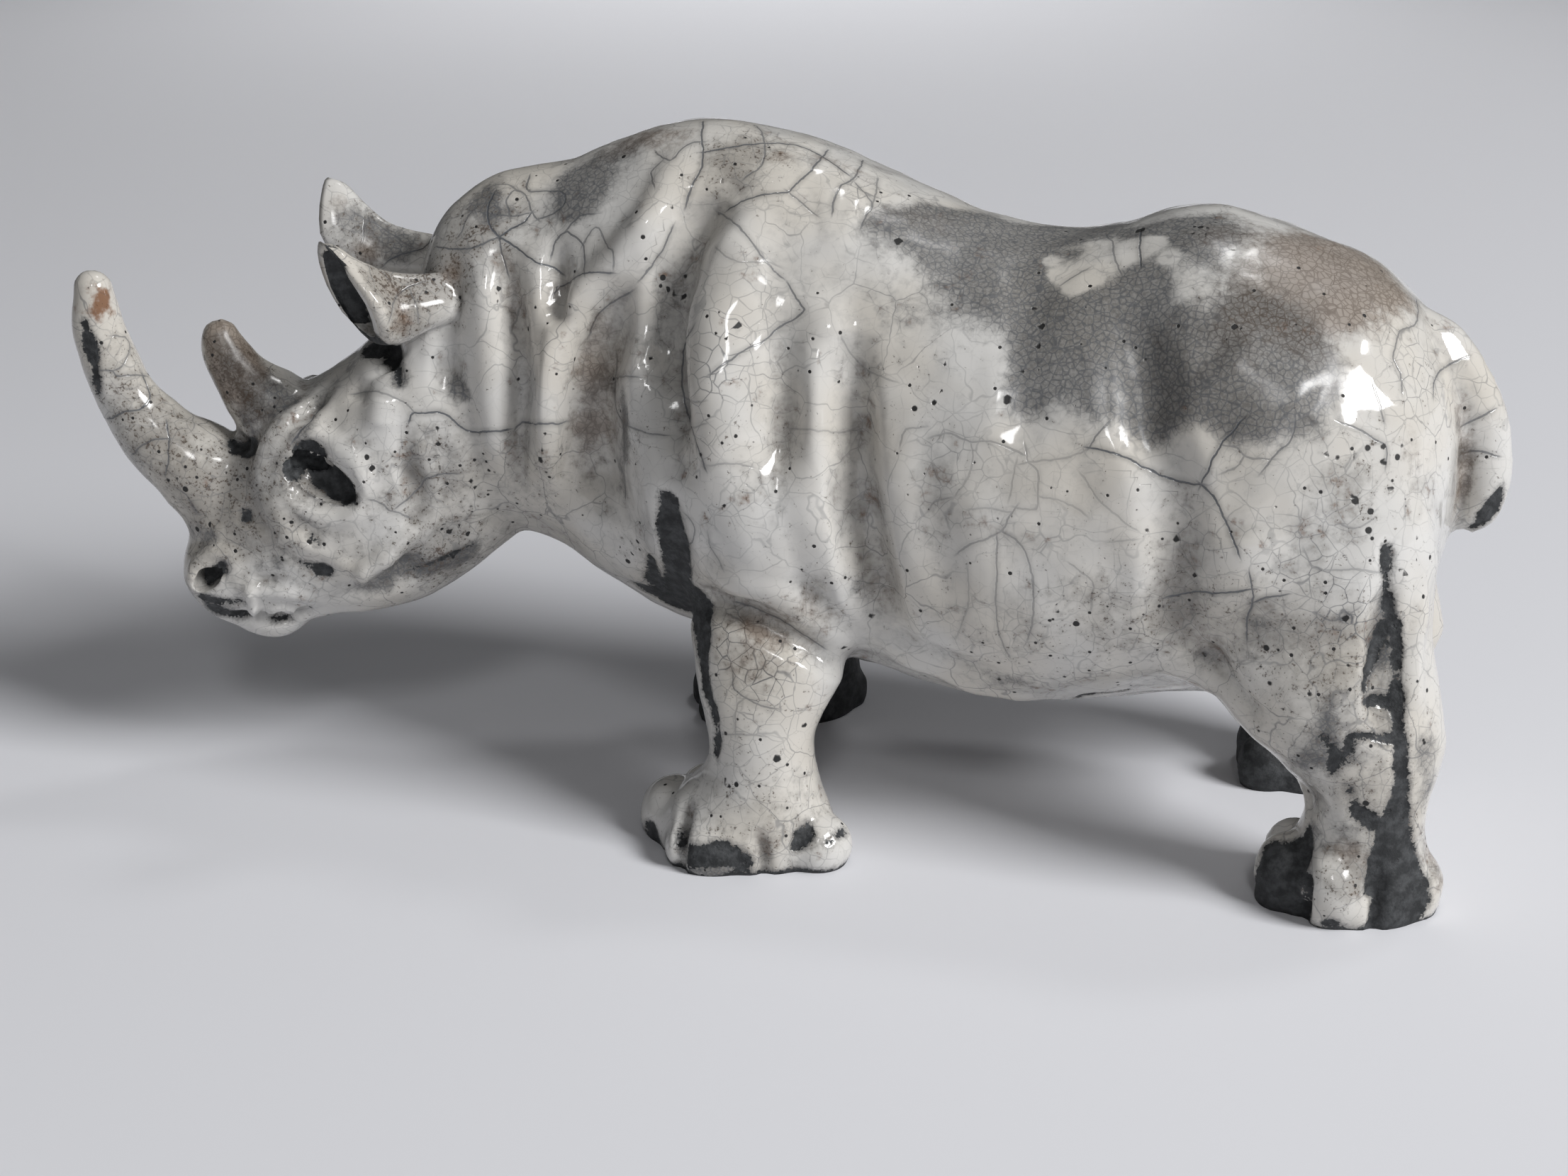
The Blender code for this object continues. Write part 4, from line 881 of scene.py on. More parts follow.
def ellipsoid(name, centre, radii, turn=(0, 0, 0)):
    """A ball with three half sizes, turned by angles in degrees."""
    segments, rings = BALL_SEGMENTS
    bpy.ops.mesh.primitive_uv_sphere_add(segments=segments, ring_count=rings, radius=1)
    obj = bpy.context.object
    obj.name = name
    turned = Euler([math.radians(a) for a in turn]).to_matrix().to_4x4()
    obj.data.transform(Matrix.Translation(centre) @ turned @ Matrix.Diagonal((*radii, 1)))
    return obj


def tapered_tube(name, points):
    """A round tube through points of x, y, z and radius, with closed ends."""
    data = bpy.data.curves.new(name, "CURVE")
    data.dimensions = "3D"
    data.bevel_depth = 1
    data.bevel_resolution = TUBE_ROUNDNESS
    data.resolution_u = TUBE_STEPS
    data.use_fill_caps = True
    spline = data.splines.new("BEZIER")
    spline.bezier_points.add(len(points) - 1)
    for point, (x, y, z, radius) in zip(spline.bezier_points, points):
        point.co = (x, y, z)
        point.radius = radius
        point.handle_left_type = point.handle_right_type = "AUTO"
    curve = new_object(name, data)
    mesh = evaluated_mesh(curve)
    bpy.data.objects.remove(curve)
    welded = bmesh.new()
    welded.from_mesh(mesh)
    bmesh.ops.remove_doubles(welded, verts=welded.verts, dist=WELD)
    welded.to_mesh(mesh)
    welded.free()
    return new_object(name, mesh)


def evaluated_mesh(obj):
    """The object's mesh with its modifiers applied."""
    bpy.context.view_layer.update()
    graph = bpy.context.evaluated_depsgraph_get()
    return bpy.data.meshes.new_from_object(obj.evaluated_get(graph))


def fuse(name, pieces, voxel, smoothing):
    """The pieces as one skin: joined, remeshed on a grid, and smoothed."""
    joined = bmesh.new()
    for piece in pieces:
        joined.from_mesh(piece.data)
        bpy.data.objects.remove(piece)
    data = bpy.data.meshes.new(name)
    joined.to_mesh(data)
    joined.free()
    obj = new_object(name, data)
    remesh = obj.modifiers.new("Skin", "REMESH")
    remesh.mode = "VOXEL"
    remesh.voxel_size = voxel
    smooth = obj.modifiers.new("Soften", "SMOOTH")
    smooth.factor = SMOOTHING_FACTOR
    smooth.iterations = smoothing
    obj.data = evaluated_mesh(obj)
    obj.modifiers.clear()
    return obj


def head_frame():
    """The matrix from the head's own frame, forward along +X, to the figure's."""
    turned = Matrix.Rotation(math.radians(180 + HEAD_TURN), 4, "Z")
    return Matrix.Translation((*HEAD_PIVOT, 0)) @ turned


def mirrored(ball):
    centre, radii, turn = ball
    return (centre[0], -centre[1], centre[2]), radii, (-turn[0], turn[1], -turn[2])


def body_masses():
    """The large forms, which run softly into each other."""
    pieces = [loft("trunk", upright_rings(TRUNK, TRUNK_SQUARENESS))]
    head_pieces = [loft("head", upright_rings(HEAD, HEAD_SQUARENESS))]
    for ball in HEAD_BALLS:
        head_pieces.append(ellipsoid("head_ball", *ball))
        head_pieces.append(ellipsoid("head_ball", *mirrored(ball)))
    for piece in head_pieces:
        piece.data.transform(head_frame())
    pieces += head_pieces
    for side, front_step, hind_step in (
        (-1, LEFT_STEP, LEFT_STEP),
        (1, RIGHT_FRONT_STEP, RIGHT_HIND_STEP),
    ):
        pieces.append(loft("front_leg", level_rings(FRONT_LEG, side, front_step)))
        pieces.append(loft("hind_leg", level_rings(HIND_LEG, side, hind_step)))
    for ball in BODY_BALLS:
        pieces.append(ellipsoid("body_ball", *ball))
        pieces.append(ellipsoid("body_ball", *mirrored(ball)))
    return pieces


def toe_pieces():
    pieces = []
    for toes, leg, step in (
        (FRONT_TOES, FRONT_LEG, RIGHT_FRONT_STEP),
        (HIND_TOES, HIND_LEG, RIGHT_HIND_STEP),
    ):
        middle = leg[0][1]
        for toe in toes:
            pieces.append(ellipsoid("toe", *toe))
            (x, y, z), radii, turn = mirrored(toe)
            x = middle + RIGHT_TOES_REACH * (x - middle) + step[0]
            pieces.append(ellipsoid("toe", (x, y + step[1], z), radii, turn))
    return pieces


def ear_rings(side, wall, floor):
    """Rings of an ear, inside by the wall; those before the floor are left out."""
    rows = smooth_rows(EAR, EAR_STEPS)
    for ahead, outwards, height, half_width, half_height in rows[rows[:, 0] >= floor]:
        ring = []
        for i in range(EAR_RING):
            angle = 2 * math.pi * i / EAR_RING
            across = (half_width - wall) * math.cos(angle)
            across *= 1 - EAR_POINT * max(0, math.sin(angle))
            up = (half_height - EAR_WALL_ABOVE * wall) * math.sin(angle)
            slant = EAR_TIP_AHEAD * up - EAR_RIM_BACK * across
            slant += EAR_MOUTH if wall else 0
            share = min(1, (ahead - EAR[0][0]) / (EAR[-1][0] - EAR[0][0])) ** 2
            ring.append((ahead + slant * share, -side * (outwards + across), height + up))
        yield ring


def ears(wall, floor):
    """Both ears in the figure's frame, smaller all round by the wall and cut off at the floor."""
    pieces = []
    for side, (ahead, up, tip) in zip((-1, 1), EAR_SETS):
        ear = loft("ear", ear_rings(side, wall, floor))
        root = Matrix.Translation((EAR[0][0], -side * EAR[0][1], EAR[0][2]))
        tipped = root @ Matrix.Rotation(math.radians(-tip), 4, "Y") @ root.inverted()
        ear.data.transform(head_frame() @ Matrix.Translation((ahead, 0, up)) @ tipped)
        pieces.append(ear)
    return pieces


def horn_and_tail_pieces():
    horns = [tapered_tube("front_horn", FRONT_HORN), tapered_tube("rear_horn", REAR_HORN)]
    for horn in horns:
        horn.data.transform(head_frame())
    return [*horns, tapered_tube("tail", TAIL)]


def surface_line(tree, to_figure, starts, direction):
    """The line laid on the surface: each start moved along the direction until it meets it."""
    found = []
    direction = to_figure.to_3x3() @ Vector(direction)
    for start in starts:
        hit = tree.ray_cast(to_figure @ Vector(start), direction)[0]
        if hit is not None:
            found.append(hit)
    return np.array(found)


def nearest_on_line(places, line):
    """The line's nearest spot to each place: its stretch, the share along that, and the way back."""
    along = np.diff(line, axis=0)
    long = np.maximum((along**2).sum(1), 1e-9)
    to_place = places[:, None] - line[None, :-1]
    share = np.clip((to_place * along).sum(2) / long, 0, 1)
    away = to_place - share[..., None] * along
    nearest = (away**2).sum(2).argmin(1)
    rows = np.arange(len(places))
    return nearest, share[rows, nearest], away[rows, nearest]


def fold_height(places, line, half_width, height):
    """How far each place rises for one fold: full on its line, nothing at its half width."""
    rise = np.zeros(len(places))
    low, high = line.min(0) - half_width, line.max(0) + half_width
    near = np.flatnonzero(((places > low) & (places < high)).all(1))
    if not len(near) or len(line) < 2:
        return rise
    nearest, share, away = nearest_on_line(places[near], line)
    done = (nearest + share) / (len(line) - 1)
    taper = np.clip(np.minimum(done, 1 - done) / FOLD_TAPER, 0, 1)
    inside = np.clip(1 - (away**2).sum(1) / half_width**2, 0, 1) ** 2
    rise[near] = height * inside * (FOLD_END_SHARE + (1 - FOLD_END_SHARE) * taper)
    return rise


def raise_folds(obj):
    places = places_of(obj.data)
    tree = tree_of(obj.data, places)
    rise = np.zeros(len(places))
    # The left side is -Y in the figure's frame and +Y in the head's.
    for folds, to_figure, left in (
        (BODY_FOLDS, Matrix.Identity(4), -1),
        (HEAD_FOLDS, head_frame(), 1),
    ):
        for half_width, height, points in folds:
            for side, share in ((left, 1), (-left, RIGHT_SIDE_SHARE)):
                starts = [(x, side * OUTSIDE, z) for x, z in smooth_rows(points, FOLD_STEPS)]
                line = surface_line(tree, to_figure, starts, (0, -side, 0))
                if len(line):
                    rise += fold_height(places, line, half_width, height * share)
    half_width, height, points = CLEFT
    starts = [(OUTSIDE, y, z) for y, z in smooth_rows(points, FOLD_STEPS)]
    line = surface_line(tree, Matrix.Identity(4), starts, (-1, 0, 0))
    rise += fold_height(places, line, half_width, height)
    set_places(obj.data, places + normals_of(obj.data) * rise[:, None])


def hollows():
    """Cutters for the eyes, nostrils, ears and the small vent, in the figure's frame."""
    cutters = []
    for ball in (EYE_SOCKET, EYE_HOLE, NOSTRIL):
        cutters.append(ellipsoid("hollow", *ball))
        cutters.append(ellipsoid("hollow", *mirrored(ball)))
    cutters.append(ellipsoid("hollow", *HORN_VENT))
    for cutter in cutters:
        cutter.data.transform(head_frame())
    return cutters + ears(EAR_WALL, EAR_FLOOR)


def cut_by(obj, cutters, operation):
    """Joins or cuts away all the cutters in one go."""
    group = bpy.data.collections.new("cutters")
    bpy.context.scene.collection.children.link(group)
    for cutter in cutters:
        for owner in list(cutter.users_collection):
            owner.objects.unlink(cutter)
        group.objects.link(cutter)
    modifier = obj.modifiers.new("Boolean", "BOOLEAN")
    modifier.operation = operation
    modifier.solver = "EXACT"
    modifier.operand_type = "COLLECTION"
    modifier.collection = group
    obj.data = evaluated_mesh(obj)
    obj.modifiers.clear()
    for cutter in cutters:
        bpy.data.objects.remove(cutter)
    bpy.data.collections.remove(group)


def cut_soles(obj):
    """Cuts the figure off flat at the ground and closes each sole."""
    mesh = bmesh.new()
    mesh.from_mesh(obj.data)
    everything = mesh.verts[:] + mesh.edges[:] + mesh.faces[:]
    bmesh.ops.bisect_plane(
        mesh, geom=everything, plane_co=(0, 0, 0), plane_no=(0, 0, 1), clear_inner=True
    )
    bmesh.ops.holes_fill(mesh, edges=[e for e in mesh.edges if e.is_boundary])
    mesh.to_mesh(obj.data)
    mesh.free()


def stand_in_box(obj, low, high):
    """Scales and moves the figure into the solid's own box."""
    places = places_of(obj.data)
    own_low, own_high = places.min(0), places.max(0)
    scale = (high[0] - low[0]) / (own_high[0] - own_low[0])
    middle = (own_low + own_high) / 2
    target = (np.array(low) + np.array(high)) / 2
    places = (places - middle) * scale
    places[:, :2] += target[:2]
    places[:, 2] += middle[2] * scale
    set_places(obj.data, places)


def build_sculpture():
    body = fuse("body", body_masses(), MASS_VOXEL, MASS_SMOOTHING)
    pieces = [body, *toe_pieces(), *horn_and_tail_pieces()]
    figure = fuse("crackled_rhinoceros", pieces, SKIN_VOXEL, SKIN_SMOOTHING)
    raise_folds(figure)
    cut_by(figure, ears(0, 0), "UNION")
    cut_by(figure, hollows(), "DIFFERENCE")
    cut_soles(figure)
    stand_in_box(figure, *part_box(NODE))
    return figure


class Skin:
    """The figure's skin in millimetres, on which marks are laid by pixels of the photograph."""

    def __init__(self, mesh):
        self.mesh = mesh
        self.places = places_of(mesh) / MM
        self.normals = normals_of(mesh)
        self.tree = tree_of(mesh, self.places)

    def under(self, x, y):
        """Where the skin shows in a pixel and how it faces there, or the nearest spot beside it."""
        start = CAMERA_PLACE / MM
        ray = photo_ray(x, y)
        place, facing = self.tree.ray_cast(start, ray)[:2]
        if place is None:
            aim = start - ray * (start.y / ray.y)
            place, facing = self.tree.find_nearest(aim)[:2]
        return place, facing

    def run(self, pixels):
        """A line of pixels laid on the skin: its places, how the skin faces, and further values."""
        rows = smooth_rows(pixels, MARK_STEPS)
        spots = [self.under(*row[:2]) for row in rows]
        return np.array([s[0] for s in spots]), np.array([s[1] for s in spots]), rows[:, 2:]

    def near(self, line, reach):
        low, high = line.min(0) - reach, line.max(0) + reach
        return np.flatnonzero(((self.places > low) & (self.places < high)).all(1))

    def write(self, name, values):
        """Keeps one number, or three, at each vertex under a name that the material reads."""
        kind, field = ("FLOAT", "value") if values.ndim == 1 else ("FLOAT_VECTOR", "vector")
        found = self.mesh.attributes.new(name, kind, "POINT")
        found.data.foreach_set(field, values.astype(np.float32).ravel())


def photo_ray(x, y):
    """The direction from the camera through a pixel of the photograph."""
    right = CAMERA_VIEW.cross(Vector((0, 0, 1))).normalized()
    up = right.cross(CAMERA_VIEW)
    focal = LENS / SENSOR_WIDTH * PHOTO_SIZE[0]
    across = (x - PHOTO_SIZE[0] / 2) / focal
    down = (y - PHOTO_SIZE[1] / 2) / focal
    return (CAMERA_VIEW + right * across - up * down).normalized()


def ripple(places, size, seed=0):
    """Smooth noise of about -1 to 1 at each place, with waves of the given size."""
    shift = Vector([seed * step for step in SEED_SHIFT])
    return np.array([noise.noise(Vector(place) / size + shift) for place in places.tolist()])


def bare_distance(skin):
    """How far each vertex is from bare clay, in millimetres, less than nothing inside it."""
    found = np.full(len(skin.places), float(MARK_REACH))
    for stroke in BARE:
        line, facing, wide = skin.run(stroke)
        near = skin.near(line, MARK_REACH + wide.max())
        nearest, share, away = nearest_on_line(skin.places[near], line)
        edge = wide[nearest, 0] + share * (wide[nearest + 1, 0] - wide[nearest, 0])
        apart = np.linalg.norm(away, axis=1) - edge
        agrees = (skin.normals[near] * facing[nearest]).sum(1) > 0
        found[near] = np.minimum(found[near], np.where(agrees, apart, MARK_REACH))
    height = skin.places[:, 2]
    found = np.minimum(found, height - SOLE_EDGE_BARE)
    far_feet = np.where(skin.places[:, 1] > 0, height - FAR_FEET_BARE, MARK_REACH)
    found = np.minimum(found, far_feet)
    close = found < MARK_REACH
    ragged = np.zeros(len(found))
    for size, reach in BARE_RAGGED:
        ragged[close] += reach * ripple(skin.places[close], size)
    return found + ragged


def hole_distance(skin):
    """How far each vertex is from the rim of the nearest single hole, less than nothing inside it."""
    found = np.full(len(skin.places), float(CALM_REACH))
    for x, y, radius in HOLES:
        place = np.array(skin.under(x, y)[0])
        near = skin.near(place[None], CALM_REACH)
        apart = np.linalg.norm(skin.places[near] - place, axis=1) - radius
        found[near] = np.minimum(found[near], apart)
    return found


def hollowness(skin):
    """How far each vertex lies in a hollow, about -1 on a ridge to 1 in a fold; the material greys the
    glaze by it, as painted shade.
    """
    ends = np.empty(len(skin.mesh.edges) * 2, np.int32)
    skin.mesh.edges.foreach_get("vertices", ends)
    first, second = ends.reshape(-1, 2).T
    count = len(skin.places)
    met = np.bincount(first, minlength=count) + np.bincount(second, minlength=count)
    soft = skin.places.copy()
    for _ in range(HOLLOW_STEPS):
        for axis in range(3):
            total = np.bincount(first, soft[second, axis], count)
            total += np.bincount(second, soft[first, axis], count)
            soft[:, axis] = (soft[:, axis] + total / met) / 2
    return np.clip(((soft - skin.places) * skin.normals).sum(1) / HOLLOW_DEPTH, -1, 1)


def patches(skin, table):
    """Soft round patches, added up at each vertex."""
    found = np.zeros(len(skin.places))
    fast, share = FACING_SHARE
    for x, y, half_size, amount in table:
        place, facing = skin.under(x, y)
        near = skin.near(np.array([place]), PATCH_REACH * half_size)
        apart = np.linalg.norm(skin.places[near] - np.array(place), axis=1)
        agrees = np.clip(skin.normals[near] @ np.array(facing) * fast + share, 0, 1)
        found[near] += amount * np.exp(-((apart / half_size) ** 2)) * agrees
    return found


def stands_apart(line, others):
    return all(
        np.linalg.norm(line[:, None] - other[None], axis=2).min() > CRACK_APART for other in others
    )


def shared_out(lines):
    """A channel for each line, so that lines near each other never share one; None if all are full."""
    channels = [[] for _ in range(CRACK_CHANNELS)]
    chosen = []
    for line in lines:
        free = next((i for i, others in enumerate(channels) if stands_apart(line, others)), None)
        if free is not None:
            channels[free].append(line)
        chosen.append(free)
    return chosen


def lay_cracks(skin):
    """Writes on which side of each crack a vertex lies and how strong the crack is there."""
    cracks = sorted(CRACKS, key=lambda crack: -crack[0])
    runs = [skin.run(pixels) for _, pixels in cracks]
    count = len(skin.places)
    sides = np.full((count, CRACK_CHANNELS), float(MARK_REACH))
    strengths = np.zeros((count, CRACK_CHANNELS))
    calm = np.zeros(count)
    channels = shared_out([line for line, _, _ in runs])
    for (strength, _), (line, facing, _), channel in zip(cracks, runs, channels):
        near = skin.near(line, CALM_REACH * 2)
        nearest, _, away = nearest_on_line(skin.places[near], line)
        apart = np.linalg.norm(away, axis=1)
        along = np.diff(line, axis=0)
        along /= np.maximum(np.linalg.norm(along, axis=1, keepdims=True), 1e-6)
        across = np.cross(facing[:-1], along)
        side = (away * across[nearest]).sum(1)
        past_end = np.abs((away * along[nearest]).sum(1))
        agrees = (skin.normals[near] * facing[nearest]).sum(1) > CRACK_FACING
        calm[near] = np.maximum(calm[near], np.exp(-((apart / CALM_REACH) ** 2)) * agrees)
        if channel is None:
            continue
        fade = np.clip((CRACK_FADES[1] - apart) / (CRACK_FADES[1] - CRACK_FADES[0]), 0, 1)
        fade *= np.clip(1 - past_end / CRACK_TIP, 0, 1) * agrees
        held = near[apart < CRACK_FADES[1]]
        sides[held, channel] = side[apart < CRACK_FADES[1]]
        strengths[held, channel] = (strength * fade)[apart < CRACK_FADES[1]]
    for first in range(0, CRACK_CHANNELS, 3):
        skin.write(f"crack_sides_{first // 3}", sides[:, first : first + 3])
        skin.write(f"crack_strengths_{first // 3}", strengths[:, first : first + 3])
    skin.write("calm", calm)


def mark_surface(figure):
    """Raises the glaze over the clay and writes where the surface is marked."""
    skin = Skin(figure.data)
    bare = bare_distance(skin)
    glaze = np.clip(bare / GLAZE_EDGE + 0.5, 0, 1)
    rise = GLAZE_THICKNESS * (glaze * glaze * (3 - 2 * glaze) - 1)
    for size, height in HAND_MARKS:
        rise += height * ripple(skin.places, size, seed=HAND_SEED)
    for half_width, height, pixels in RIDGES:
        rise += fold_height(skin.places, skin.run(pixels)[0], half_width, height)
    low_down = np.clip(skin.places[:, 2] / FOOT_FADE, 0, 1)
    set_places(figure.data, (skin.places + skin.normals * (rise * low_down)[:, None]) * MM)
    skin.write("bare", bare)
    # The hollows, by which the material paints shade into the folds.
    skin.write("hollow", hollowness(skin))
    for name, table in PATCHES.items():
        skin.write(name, patches(skin, table))
    skin.write("holes", hole_distance(skin))
    lay_cracks(skin)


class Recipe:
    """A material's nodes, added and linked one after another. Sizes are in millimetres."""

    def __init__(self, material):
        self.tree = material.node_tree

    def add(self, kind, **settings):
        made = self.tree.nodes.new(kind)
        for name, value in settings.items():
            setattr(made, name, value)
        return made

    def feed(self, socket, value):
        """Links a socket to another one, or sets its plain value."""
        if isinstance(value, bpy.types.NodeSocket):
            self.tree.links.new(value, socket)
        else:
            socket.default_value = value

    def fed(self, made, *values):
        """The node with its first inputs linked or set."""
        for socket, value in zip(made.inputs, values):
            self.feed(socket, value)
        return made

    def math(self, operation, *values):
        return self.fed(self.add("ShaderNodeMath", operation=operation), *values).outputs[0]

    def times(self, first, second):
        return self.math("MULTIPLY", first, second)

    def stretched(self, value, factor, shift):
        """The value times the factor, plus the shift."""
        return self.math("MULTIPLY_ADD", value, factor, shift)

    def plus(self, first, *others):
        for other in others:
            first = self.math("ADD", first, other)
        return first

    def most(self, first, *others):
        for other in others:
            first = self.math("MAXIMUM", first, other)
        return first

    def vector(self, operation, *values):
        return self.fed(self.add("ShaderNodeVectorMath", operation=operation), *values).outputs[0]

    def scaled(self, vector, scale):
        made = self.add("ShaderNodeVectorMath", operation="SCALE")
        self.feed(made.inputs[0], vector)
        self.feed(made.inputs["Scale"], scale)
        return made.outputs[0]

    def ramp(self, value, start, end, low=0.0, high=1.0):
        """Low up to the start, high from the end on, and a soft step between."""
        made = self.add("ShaderNodeMapRange", interpolation_type="SMOOTHSTEP")
        return self.fed(made, value, start, end, low, high).outputs["Result"]

    def falling(self, vector, start, end):
        """One up to the start and nothing from the end on, for three numbers at once."""
        made = self.add(
            "ShaderNodeMapRange", data_type="FLOAT_VECTOR", interpolation_type="SMOOTHSTEP"
        )
        self.feed(made.inputs["Vector"], vector)
        sockets = {socket.identifier: socket for socket in made.inputs}
        for name, item in (("From_Min", start), ("From_Max", end), ("To_Min", 1), ("To_Max", 0)):
            self.feed(sockets[name + "_FLOAT3"], (item, item, item))
        return made.outputs["Vector"]

    def mix(self, share, first, second):
        """The first colour going over to the second."""
        made = self.add("ShaderNodeMix", data_type="RGBA")
        self.feed(made.inputs[0], share)
        self.feed(made.inputs[6], first)
        self.feed(made.inputs[7], second)
        return made.outputs[2]

    def mark(self, name, output="Fac"):
        return self.add("ShaderNodeAttribute", attribute_name=name).outputs[output]

    def noise(self, place, size, detail=2.0, roughness=0.5):
        """Noise with waves of the given size: its number, about 0 to 1, and its colour."""
        made = self.add("ShaderNodeTexNoise")
        self.feed(made.inputs["Vector"], place)
        made.inputs["Scale"].default_value = 1 / size
        made.inputs["Detail"].default_value = detail
        made.inputs["Roughness"].default_value = roughness
        return made.outputs[0], made.outputs[1]

    def cells(self, place, size, feature):
        """A net of cells of the given size, and a distance in it."""
        made = self.add("ShaderNodeTexVoronoi", feature=feature)
        self.feed(made.inputs["Vector"], place)
        made.inputs["Scale"].default_value = 1 / size
        return made, self.times(made.outputs["Distance"], size)

    def net(self, place, size, start, full):
        """Thin lines between cells of the given size."""
        return self.ramp(self.cells(place, size, "DISTANCE_TO_EDGE")[1], start, full)

    def dots(self, place, size):
        """The distance to the nearest of scattered dots, and a number that each dot draws by lot."""
        made, apart = self.cells(place, size, "F1")
        lot = self.fed(self.add("ShaderNodeSeparateColor"), made.outputs["Color"])
        return apart, lot.outputs[0]

    def warped(self, place, size, reach):
        """The place pushed about by noise, by up to about half the reach."""
        push = self.vector("SUBTRACT", self.noise(place, size)[1], (0.5, 0.5, 0.5))
        return self.vector("ADD", place, self.scaled(push, reach))


def shared_noises(make, place):
    """The noises that the marks, the cracks and the colours share."""
    return SimpleNamespace(**{name: make.noise(place, *wave)[0] for name, wave in NOISES.items()})


def spread_marks(make, noises):
    """How much smoke, stain, rust, grime and bare clay there is at each place, with ragged edges; painted
    shade in the hollows adds to the smoke, the stain and the grime.
    """
    dirt_and_shade = make.mark("dirt_and_shade")
    hollow = make.mark("hollow")
    ragged = make.plus(make.times(noises.cloud, 1.3), make.stretched(noises.grain, 1.1, -1.2))
    # Painted shade: the hollows raise the smoke, the stain and the grime a little.
    drawn = make.plus(ragged, make.times(hollow, 0.22))
    clay = make.plus(
        make.mark("bare"),
        make.stretched(noises.grain, 1.8, -0.9),
        make.stretched(noises.speck, 2.0, -1.0),
    )
    levels = {
        "smoke": make.stretched(make.mark("smoke"), 1.3, make.times(drawn, 0.7)),
        "stain": make.plus(make.mark("stain"), drawn),
        "rust": make.stretched(ragged, 2.4, make.mark("rust")),
        "soiled": make.plus(dirt_and_shade, drawn),
        "bare": clay,
        "thin": clay,
    }
    shown = {name: make.ramp(level, *SHOWS_BETWEEN[name]) for name, level in levels.items()}
    return SimpleNamespace(dirt_and_shade=dirt_and_shade, hollow=hollow, **shown)


def hand_cracks(make, place):
    """The cracks laid on the skin: dark lines, and the soft grey beside them."""
    wobble = make.stretched(make.noise(place, 2.4)[0], CRACK_WOBBLE, -CRACK_WOBBLE / 2)
    lines = halos = None
    for group in range(CRACK_CHANNELS // 3):
        strengths = make.mark(f"crack_strengths_{group}", "Vector")
        sides = make.mark(f"crack_sides_{group}", "Vector")
        apart = make.vector("ABSOLUTE", make.vector("ADD", sides, wobble))
        line = make.vector("MULTIPLY", make.falling(apart, *CRACK_LINE), strengths)
        halo = make.vector("MULTIPLY", make.falling(apart, *CRACK_HALO), strengths)
        lines = line if lines is None else make.vector("MAXIMUM", lines, line)
        halos = halo if halos is None else make.vector("MAXIMUM", halos, halo)
    for three in (lines, halos):
        parts = make.fed(make.add("ShaderNodeSeparateXYZ"), three)
        yield make.most(*parts.outputs)


def fine_cracks(make, place, noises, marks):
    """The crackle between the laid cracks: a wide net, a finer one, and the finest in smoke."""
    bent = make.warped(place, *NET_BEND)
    wide = make.net(bent, *WIDE_NET)
    wide_shows = make.times(
        make.ramp(noises.broad, 0.36, 0.62, 0.25, 0.6),
        make.stretched(make.mark("calm"), -0.7, 1.0),
    )
    less_bent = make.scaled(make.vector("ADD", place, bent), 0.5)
    middle = make.net(less_bent, *MIDDLE_NET)
    middle_shows = make.most(
        make.ramp(make.plus(noises.cloud, make.times(marks.dirt_and_shade, 0.12)), 0.45, 0.68, 0.06, 0.4),
        make.times(marks.stain, 0.6),
        make.times(make.mark("crackle"), make.ramp(noises.cloud, 0.3, 0.65, 0.35, 0.8)),
    )
    fine = make.net(place, *FINE_NET)
    fine_shows = make.times(make.most(marks.smoke, make.times(marks.stain, 0.7)), 0.7)
    return make.most(
        make.times(wide, wide_shows),
        make.times(middle, middle_shows),
        make.times(fine, fine_shows),
    )


def pinholes(make, place, noises, marks):
    """Pinholes: small ones in crowds, larger ones in tighter crowds or anywhere, and the set ones."""
    pits = make.mark("pits")
    crowd = make.most(pits, make.times(marks.dirt_and_shade, 0.3))
    uneven = make.stretched(noises.grain, 0.5, -0.25)
    found = [make.ramp(make.plus(make.mark("holes"), uneven), *SET_HOLES)]
    for (size, start, full), share in (
        (SMALL_HOLES, make.stretched(crowd, 0.75, 0.12)),
        (CROWDED_HOLES, make.times(pits, 0.8)),
    ):
        apart, lot = make.dots(place, size)
        round_hole = make.ramp(make.plus(apart, uneven), start, full)
        found.append(make.times(round_hole, make.math("LESS_THAN", lot, share)))
    size, start, full = SCATTERED_HOLES
    found.append(make.ramp(make.plus(*make.dots(place, size), uneven), start, full))
    return make.most(*found)


